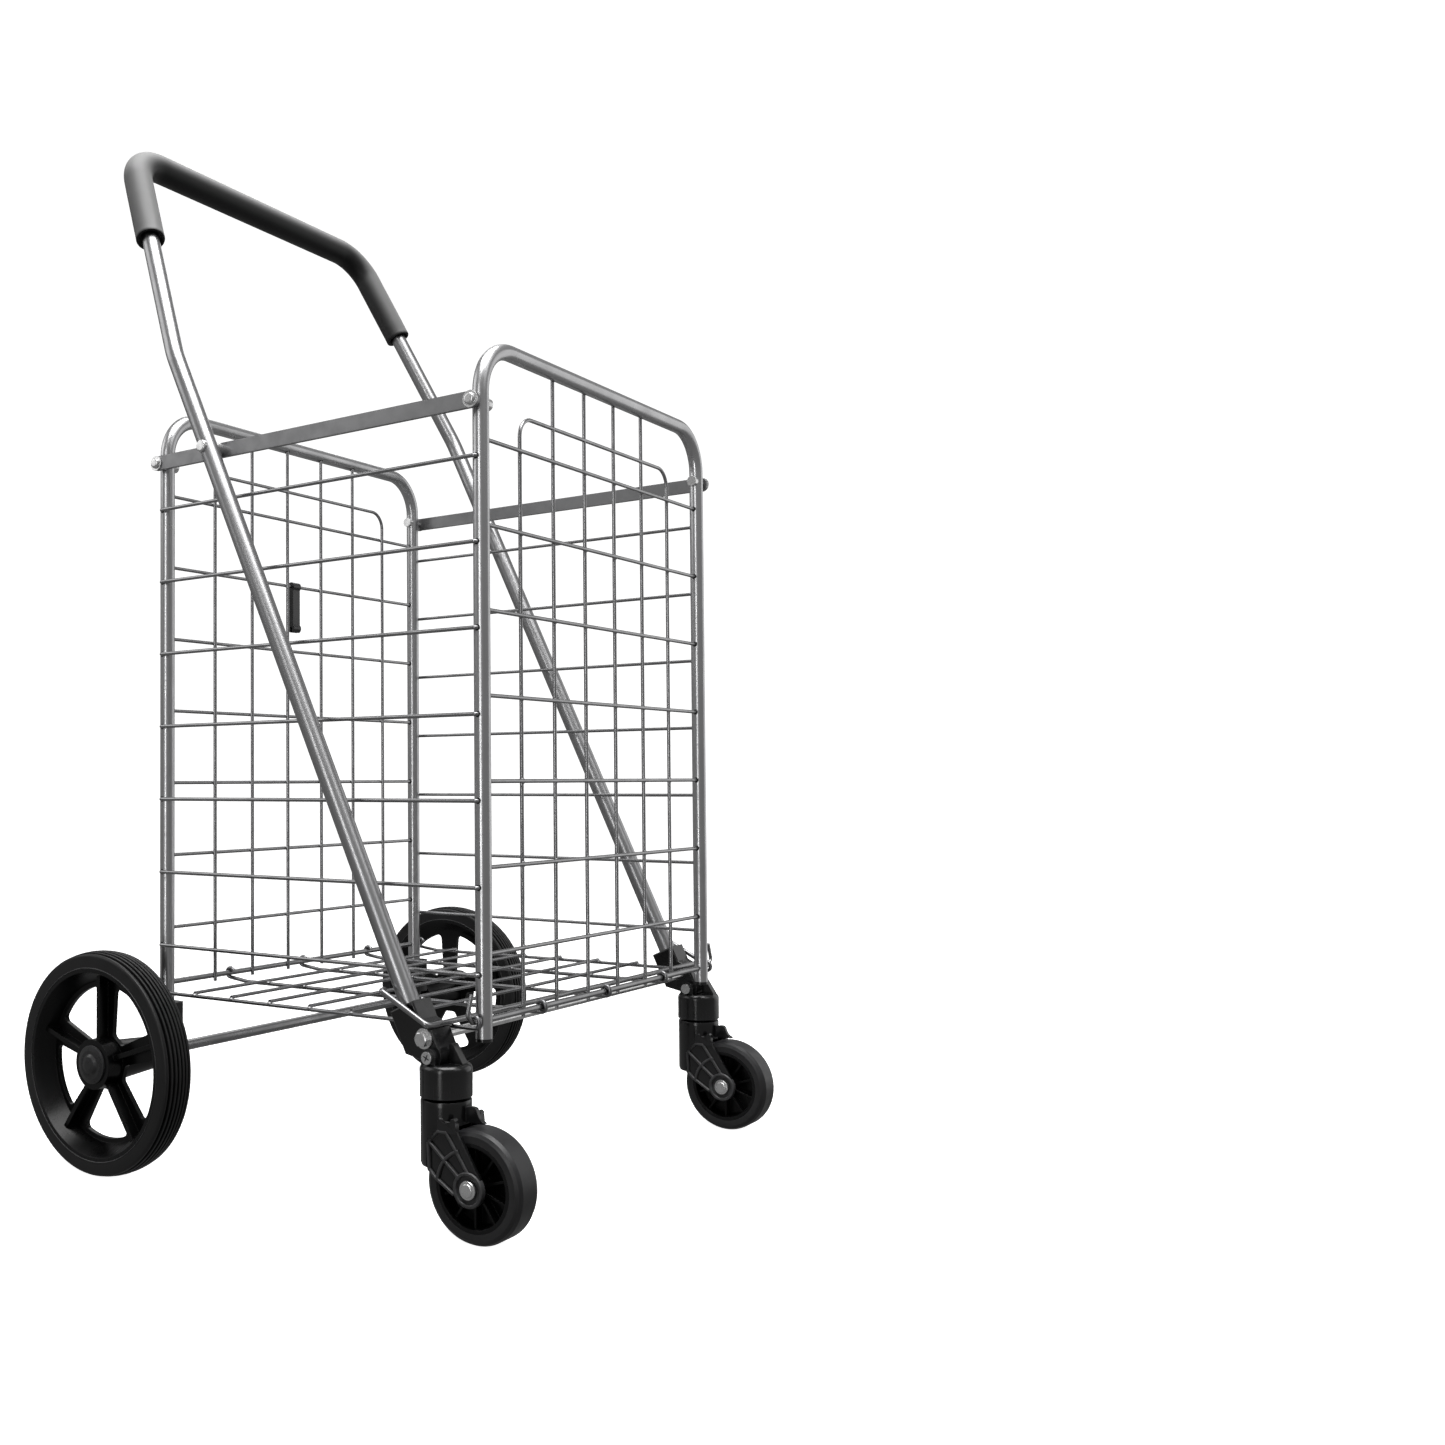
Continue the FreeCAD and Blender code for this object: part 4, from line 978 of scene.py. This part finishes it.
    def rib(self, mesh: bmesh.types.BMesh, path: Sequence[tuple[float, float]], way: float) -> None:
        """Add a round-topped rib on an arm's outer face.

        Args:
            mesh: The mesh that takes it.
            path: Its middle line as (ahead, up).
            way: -1 or 1 for the arm.
        """
        half, top, foot = self.rib_half, self.arm_out, self.arm_floor - self.rib_foot
        wall, crest = top - self.rib_round, top - self.crest_drop
        profile = [(-half, foot), (-half, wall), (-half * self.crest_half, crest), (0.0, top)]
        profile += [(-aside, out) for aside, out in reversed(profile[:-1])]
        points = [Vector(point) for point in path]
        rings = []
        for index, point in enumerate(points):
            before = (point - points[index - 1]).normalized() if index else None
            after = (points[index + 1] - point).normalized() if index < len(points) - 1 else None
            along = ((before or after) + (after or before)).normalized()
            stretch = 1.0 / max(along.dot(after or before), self.least_miter)
            across = Vector((-along.y, along.x)) * stretch
            ring = []
            for aside, out in profile:
                spot = point + across * aside
                ring.append(self.place(way * out, spot.x, spot.y))
            rings.append(ring)
        ends = [[sum(ring, Vector()) / len(ring)] for ring in (rings[0], rings[-1])]
        skin(mesh, [ends[0]] + rings + [ends[1]])

    def crown(self, mesh: bmesh.types.BMesh) -> None:
        """Add the round crown, flattened between the arms and hollowed over the wheel.

        Args:
            mesh: The mesh that takes it.
        """
        top, foot, lip = self.crown_top, self.crown_foot, self.crown_lip
        levels = [(self.crown_r - lip * inside, top - lip * down) for inside, down in self.lip_top]
        fall = (top - 2 * lip - foot) / self.crown_levels
        levels += [(self.crown_r, top - lip - fall * step) for step in range(1, self.crown_levels + 1)]
        levels += [(self.crown_r - lip * inside, foot - lip * down) for inside, down in self.lip_foot]
        under = levels[-1][1]
        levels += [(radius, under) for radius in self.crown_under]
        rings = [[self.place(0.0, self.swivel, top)]]
        for radius, level in levels:
            rings.append([self.crown_point(radius, level, turn) for turn in turns(self.crown_sides)])
        rings.append([self.crown_point(0.0, under, 0.0)])
        skin(mesh, rings)

    def crown_point(self, radius: float, level: float, turn: float) -> Vector:
        """A point of the crown.

        Args:
            radius: From the swivel's axis.
            level: Above the axle.
            turn: Round the swivel's axis.

        Returns:
            The point, kept outside the wheel's room and inside the arms' faces.
        """
        out, ahead = radius * math.sin(turn), self.swivel + radius * math.cos(turn)
        shoulder = max(0.0, level - self.neck_low)
        if level < self.neck_top and ahead > self.neck_back + shoulder:
            inner = self.arm_floor - self.neck_inset
            out = max(-inner, min(inner, out))
        if abs(ahead) < self.room_r and abs(out) < self.arm_in + self.room_spare:
            level = max(level, math.sqrt(self.room_r**2 - ahead**2))
        return self.place(out, ahead, level)


@dataclass
class CrossRecess:
    """The cross-shaped driver recess of a screw, in painted shade: a dark four-armed piece with sloping ends, just
    proud of the head, stands in for the shadow in the hollow.

    Sizes are in millimetres. At its floor, deep down, the arms have floor_share of their reach.
    """

    arms: int = 4
    turn: float = 20.0
    reach: float = 2.7
    half: float = 0.55
    end_share: float = 0.7
    proud: float = 0.06
    deep: float = 0.25
    floor_share: float = 0.8

    def cut(self, mesh: bmesh.types.BMesh, face: Vector, out: Vector) -> None:
        """Paint the recess's shade on a screw's head.

        Args:
            mesh: The mesh that takes it.
            face: The middle of the head.
            out: The way that the head looks.
        """
        across = out.orthogonal().normalized()
        up = out.cross(across)
        rings = []
        for lift, share in ((self.proud, 1.0), (-self.deep, self.floor_share)):
            end, aside = self.reach * share, self.half * self.end_share
            ring = []
            for turn in (step + math.radians(self.turn) for step in turns(self.arms)):
                for far, wide in ((self.half, -self.half), (end, -aside), (end, aside)):
                    spot_x = far * math.cos(turn) - wide * math.sin(turn)
                    spot_y = far * math.sin(turn) + wide * math.cos(turn)
                    ring.append(face + (across * spot_x + up * spot_y + out * lift) * MM)
            rings.append(ring)
        skin(mesh, [[face + out * self.proud * MM]] + rings + [[face - out * self.deep * MM]])


@dataclass
class Caster:
    """One swivel caster with its tilting cup."""

    nodes: dict[str, bpy.types.Object]
    side: Side

    def build(self) -> None:
        """Give the tilt screw its driver recess, drawn as painted shade."""
        tag = self.side.tag
        low, high = (Vector(corner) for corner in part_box(f"tilt_pin_{tag}"))
        face = (low + high) / 2.0
        face.x = high.x if self.side is Side.LEFT else low.x
        mesh = bmesh.new()
        CrossRecess().cut(mesh, face, Vector((self.side.value, 0, 0)))
        # painted shade: the recess is a dark piece, not a cut hollow
        finished_piece(f"tilt_screw_recess_{tag}", mesh, RECESS_SHADE, f"caster_mount_{tag}")

    def dress(self) -> None:
        """Finish the cup, wheel and pins."""
        tag = self.side.tag
        dress(self.nodes, [f"caster_cup_{tag}"], BLACK_NYLON)
        dress(self.nodes, [f"tilt_pin_{tag}", f"caster_stem_{tag}", f"caster_axle_{tag}"], BRIGHT_ZINC)
        dress(self.nodes, [f"caster_rim_{tag}"], BLACK_RIM)
        dress(self.nodes, [f"caster_tyre_{tag}"], CASTER_TREAD)


@dataclass
class RearWheel:
    """One large rear wheel with its bracket: a solid tyre with a ribbed tread and a moulding line at its seat.

    Sizes are in millimetres. The corner is given as pairs of how far down from the tread's edge and how far in from
    the tyre's face, and the edges of each ridge as one such pair.
    """

    nodes: dict[str, bpy.types.Object]
    side: Side
    tyre_depth: float = 14.0
    corner: Outline = ((2.4, 0.0), (1.1, 0.25), (0.4, 0.8))
    shoulder: float = 1.3
    ridges: int = 7
    ridge_share: float = 0.52
    ridge_edge: tuple[float, float] = (0.25, 0.3)
    groove: float = 2.4
    groove_slope: float = 0.2
    crowning: float = 1.8
    bead_up: float = 0.6
    bead_half: float = 0.45
    bead_proud: float = 0.3
    sides: int = 144
    merged: float = 0.01

    def build(self) -> None:
        """Mould the tyre and its seat's bead on both faces."""
        tag = self.side.tag
        low, high = (Vector(corner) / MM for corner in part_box(f"rear_tyre_{tag}"))
        radius, width = (high.z - low.z) / 2.0, high.x - low.x
        seat = radius - self.tyre_depth
        centre = Vector((low.x, (low.y + high.y) / 2.0, (low.z + high.z) / 2.0)) * MM
        mesh = bmesh.new()
        self.ring(mesh, self.tyre_outline(radius, width, seat), centre)
        tyre = finished_piece(f"ribbed_tyre_{tag}", mesh, RIBBED_TYRE, f"rear_wheel_{tag}")
        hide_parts(f"rear_tyre_{tag}")
        mesh = bmesh.new()
        crest, half = seat + self.bead_up, self.bead_half
        for face, out in ((0.0, -1.0), (width, 1.0)):
            bead = [(crest - half, face), (crest, face + out * self.bead_proud), (crest + half, face)]
            self.ring(mesh, bead, centre)
        # painted highlight: the beads are painted grey to show as a thin light line
        finished_piece(f"tyre_beads_{tag}", mesh, LIT_NYLON, f"rear_wheel_{tag}")

    def tyre_outline(self, radius: float, width: float, seat: float) -> list[tuple[float, float]]:
        """Draw the tyre's section with its crowned, ribbed tread.

        Args:
            radius: The tyre's outer radius.
            width: Its width.
            seat: Its inner radius.

        Returns:
            Pairs of radius and distance from the tyre's low face.
        """
        pitch = (width - 2.0 * self.shoulder) / (self.ridges - 1 + self.ridge_share)
        edge = radius - self.crowning
        down, inside = self.ridge_edge
        outline = [(seat, 0.0)] + [(edge - drop, deep) for drop, deep in self.corner]
        for ridge in range(self.ridges):
            start = self.shoulder + ridge * pitch
            end = start + self.ridge_share * pitch
            top = radius - self.crowning * (2.0 * ridge / (self.ridges - 1) - 1.0) ** 2
            outline += [(top - down, start), (top, start + inside), (top, end - inside), (top - down, end)]
            if ridge < self.ridges - 1:
                floor = top - self.groove
                outline += [(floor, end + self.groove_slope), (floor, start + pitch - self.groove_slope)]
        return outline + [(edge - drop, width - deep) for drop, deep in reversed(self.corner)] + [(seat, width)]

    def ring(self, mesh: bmesh.types.BMesh, outline: Sequence[tuple[float, float]], centre: Vector) -> None:
        """Turn a closed outline round the wheel's axis.

        Args:
            mesh: The mesh that takes the ring.
            outline: Pairs of radius and distance from the tyre's low face.
            centre: The axis' place at the tyre's low face.
        """
        closed = [(radius * MM, height * MM) for radius, height in [*outline, outline[0]]]
        turned(mesh, closed, centre, Vector((1, 0, 0)), self.sides)
        bmesh.ops.remove_doubles(mesh, verts=mesh.verts, dist=self.merged * MM)

    def dress(self) -> None:
        """Finish the rim, cap and bracket."""
        tag = self.side.tag
        dress(self.nodes, [f"rear_rim_{tag}"], BLACK_RIM)
        dress(self.nodes, [f"hub_cap_{tag}"], CAP_PLASTIC)
        dress(self.nodes, [f"axle_bracket_{tag}"], BLACK_NYLON)


@dataclass
class Trimmings:
    """The rest: rear axle, screws, plugs and the folding clip."""

    nodes: dict[str, bpy.types.Object]

    def dress(self) -> None:
        """Finish the axle, screws, plugs and clip."""
        dress(self.nodes, ["bracket_screws"], BRIGHT_ZINC)
        dress(self.nodes, ["rear_axle"], ROUND_ROD)
        dress(self.nodes, ["front_plugs", "fold_clip"], BLACK_NYLON)


# ---- studio
@dataclass(frozen=True)
class SoftBox:
    """A soft area light, placed by compass round the middle of the cart and aimed at it.

    Azimuth is in degrees from the cart's front towards its left, elevation is in degrees, and sizes are in metres. A
    light that is mirrored_only shows as a reflection and does not brighten what scatters light.
    """

    name: str
    azimuth: float
    elevation: float
    distance: float
    width: float
    height: float
    watts: float
    mirrored_only: bool = True

    def build(self, middle: Vector) -> None:
        """Hang the light.

        Args:
            middle: The middle of the cart, which it is aimed at.
        """
        lamp = bpy.data.lights.new(self.name, "AREA")
        lamp.shape = "RECTANGLE"
        lamp.size = self.width
        lamp.size_y = self.height
        lamp.energy = self.watts
        hung = in_scene(self.name, lamp)
        turn = math.radians(self.azimuth)
        rise = math.radians(self.elevation)
        away = Vector((math.sin(turn), -math.cos(turn), 0.0)) * math.cos(rise) + Vector((0, 0, math.sin(rise)))
        hung.location = middle + away * self.distance
        hung.rotation_euler = (-away).to_track_quat("-Z", "Y").to_euler()
        hung.visible_camera = False
        hung.visible_diffuse = not self.mirrored_only
        LOG.info("%s: %.0f W", self.name, self.watts)


@dataclass(frozen=True)
class StudioCamera:
    """The camera, low beside the cart's front right corner and looking back across it.

    Its axis points azimuth degrees from the y axis, counted anticlockwise from above, and elevation degrees up.
    """

    place: tuple[float, float, float] = (-1.02665, -0.79108, 0.33107)
    azimuth: float = -53.394
    elevation: float = 1.660
    roll: float = -0.2812
    sensor_mm: float = 36.0
    focal_mm: float = 34.70
    shift: tuple[float, float] = (0.1886, 0.0123)
    far: float = 60.0

    def build(self) -> None:
        """Set up the camera and look through it."""
        lens = bpy.data.cameras.new("camera")
        lens.sensor_width = self.sensor_mm
        lens.lens = self.focal_mm
        lens.shift_x, lens.shift_y = self.shift
        lens.clip_end = self.far
        camera = in_scene("camera", lens)
        turn, rise, roll = (math.radians(angle) for angle in (self.azimuth, self.elevation, self.roll))
        ahead = Vector((-math.sin(turn) * math.cos(rise), math.cos(turn) * math.cos(rise), math.sin(rise)))
        level = Vector((math.cos(turn), math.sin(turn), 0.0))
        right = level * math.cos(roll) + level.cross(ahead) * math.sin(roll)
        frame = Matrix((right, right.cross(ahead), -ahead)).transposed().to_4x4()
        frame.translation = Vector(self.place)
        camera.matrix_world = frame
        bpy.context.scene.camera = camera
        LOG.info("camera: %.2f mm", self.focal_mm)


@dataclass(frozen=True)
class Studio:
    """A white cove with soft boxes.

    The room is what metal mirrors: shares of the way from straight down to straight up, with their colours. Its glow
    is its strength for surfaces that scatter light and for ones that mirror it.
    """

    floor_rings: tuple[float, ...] = (0.0, 0.6, 1.5, 4.0)
    floor_drop: float = 0.4 * MM
    wall_radius: float = 6.0
    wall_height: float = 5.0
    sweep_steps: int = 12
    cove_sides: int = 96
    middle: tuple[float, float, float] = (0.0, 0.0, 0.42)
    room: tuple[tuple[float, str], ...] = ((0.12, "#868686"), (0.5, "#8e8e8e"), (0.88, "#a6a6a6"))
    room_glow: tuple[float, float] = (0.22, 1.0)
    boxes: tuple[SoftBox, ...] = (
        SoftBox("top_softbox", -40.0, 76.0, 2.4, 2.0, 2.0, 92.0, mirrored_only=False),
        SoftBox("leg_softbox", 4.0, 42.0, 2.8, 1.3, 1.3, 7.0),
        SoftBox("fill_softbox", 62.0, 8.0, 3.0, 2.4, 2.4, 14.0),
        SoftBox("side_softbox", -146.0, 29.0, 3.0, 2.0, 1.6, 14.0),
        SoftBox("strip_softbox", -78.0, 6.0, 3.0, 0.5, 2.4, 17.0),
        SoftBox("back_softbox", 130.0, 40.0, 2.8, 1.4, 1.4, 10.0),
    )

    def build(self) -> None:
        """Set up the cove, the room and the lights."""
        self.cove()
        self.mirrored_room()
        for box in self.boxes:
            box.build(Vector(self.middle))
        view = bpy.context.scene.view_settings
        view.view_transform = "Standard"
        view.look = "None"

    def cove(self) -> None:
        """Lay the floor, swept up into a wall all round."""
        outline = [(radius, 0.0) for radius in self.floor_rings]
        floor_radius = self.floor_rings[-1]
        sweep = self.wall_radius - floor_radius
        for step in range(1, self.sweep_steps + 1):
            turn = math.pi / 2 * step / self.sweep_steps
            outline.append((floor_radius + sweep * math.sin(turn), sweep * (1 - math.cos(turn))))
        outline.append((self.wall_radius, self.wall_height))
        mesh = bmesh.new()
        turned(mesh, outline, Vector((0, 0, -self.floor_drop)), Vector((0, 0, 1)), self.cove_sides)
        cove = meshed("white_cove", mesh, self.paper())
        cove.data.shade_smooth()
        cove.visible_glossy = False
        cove.visible_diffuse = False
        LOG.info("white_cove: %.0f m across", 2 * self.wall_radius)

    def paper(self) -> bpy.types.Material:
        """Make white seamless paper, lit evenly enough to leave no horizon.

        Returns:
            Its material.
        """
        material = bpy.data.materials.new("seamless_paper")
        tree = blank_tree(material)
        look = {
            "Base Color": linear("#f4f4f4"),
            "Roughness": 1.0,
            "Specular IOR Level": 0.0,
            "Emission Color": linear("#ffffff"),
            "Emission Strength": 1.0,
        }
        shader = add_node(tree, "ShaderNodeBsdfPrincipled", look)
        add_node(tree, "ShaderNodeOutputMaterial", {"Surface": shader.outputs["BSDF"]})
        return material

    def mirrored_room(self) -> None:
        """Surround the studio with a room: pale floor and ceiling, with a dimmer band of walls between them."""
        world = bpy.data.worlds.new("studio_room")
        bpy.context.scene.world = world
        tree = blank_tree(world)
        place = add_node(tree, "ShaderNodeTexCoord").outputs["Generated"]
        height = add_node(tree, "ShaderNodeSeparateXYZ", {"Vector": place}).outputs["Z"]
        share = add_node(tree, "ShaderNodeMapRange", {"Value": height, "From Min": -1.0, "From Max": 1.0})
        ramp = add_node(tree, "ShaderNodeValToRGB", {"Fac": share.outputs["Result"]})
        floor, walls, ceiling = self.room
        for stop, (position, colour) in zip(ramp.color_ramp.elements, (floor, ceiling)):
            stop.position, stop.color = position, linear(colour)
        ramp.color_ramp.elements.new(walls[0]).color = linear(walls[1])
        mirrored = add_node(tree, "ShaderNodeLightPath").outputs["Is Glossy Ray"]
        glow = {"Value": mirrored, "To Min": self.room_glow[0], "To Max": self.room_glow[1]}
        strength = add_node(tree, "ShaderNodeMapRange", glow).outputs["Result"]
        room = add_node(tree, "ShaderNodeBackground", {"Color": ramp.outputs["Color"], "Strength": strength})
        add_node(tree, "ShaderNodeOutputWorld", {"Surface": room.outputs["Background"]})


def main() -> None:
    """Load the frame, dress it and set the studio."""
    logging.basicConfig(level=logging.INFO, format="%(name)s: %(message)s")
    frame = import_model()
    nodes = frame["nodes"]
    rear = WirePanelFrame(nodes, "rear_frame", 0.0, -1, "rear")
    front = WirePanelFrame(nodes, "front_frame", -BASKET_DEPTH * MM, 1, "front")
    handle = Handle(nodes)
    for part in (rear, front, handle):
        part.build()
        part.dress()
    floor = FloorPanel(nodes)
    floor.build()
    for part in (floor, Linkage(nodes), Trimmings(nodes)):
        part.dress()
    for side in Side:
        CasterFork(side).build()
        caster = Caster(nodes, side)
        caster.build()
        caster.dress()
        wheel = RearWheel(nodes, side)
        wheel.build()
        wheel.dress()
    Studio().build()
    StudioCamera().build()


if __name__ == "__main__":
    main()
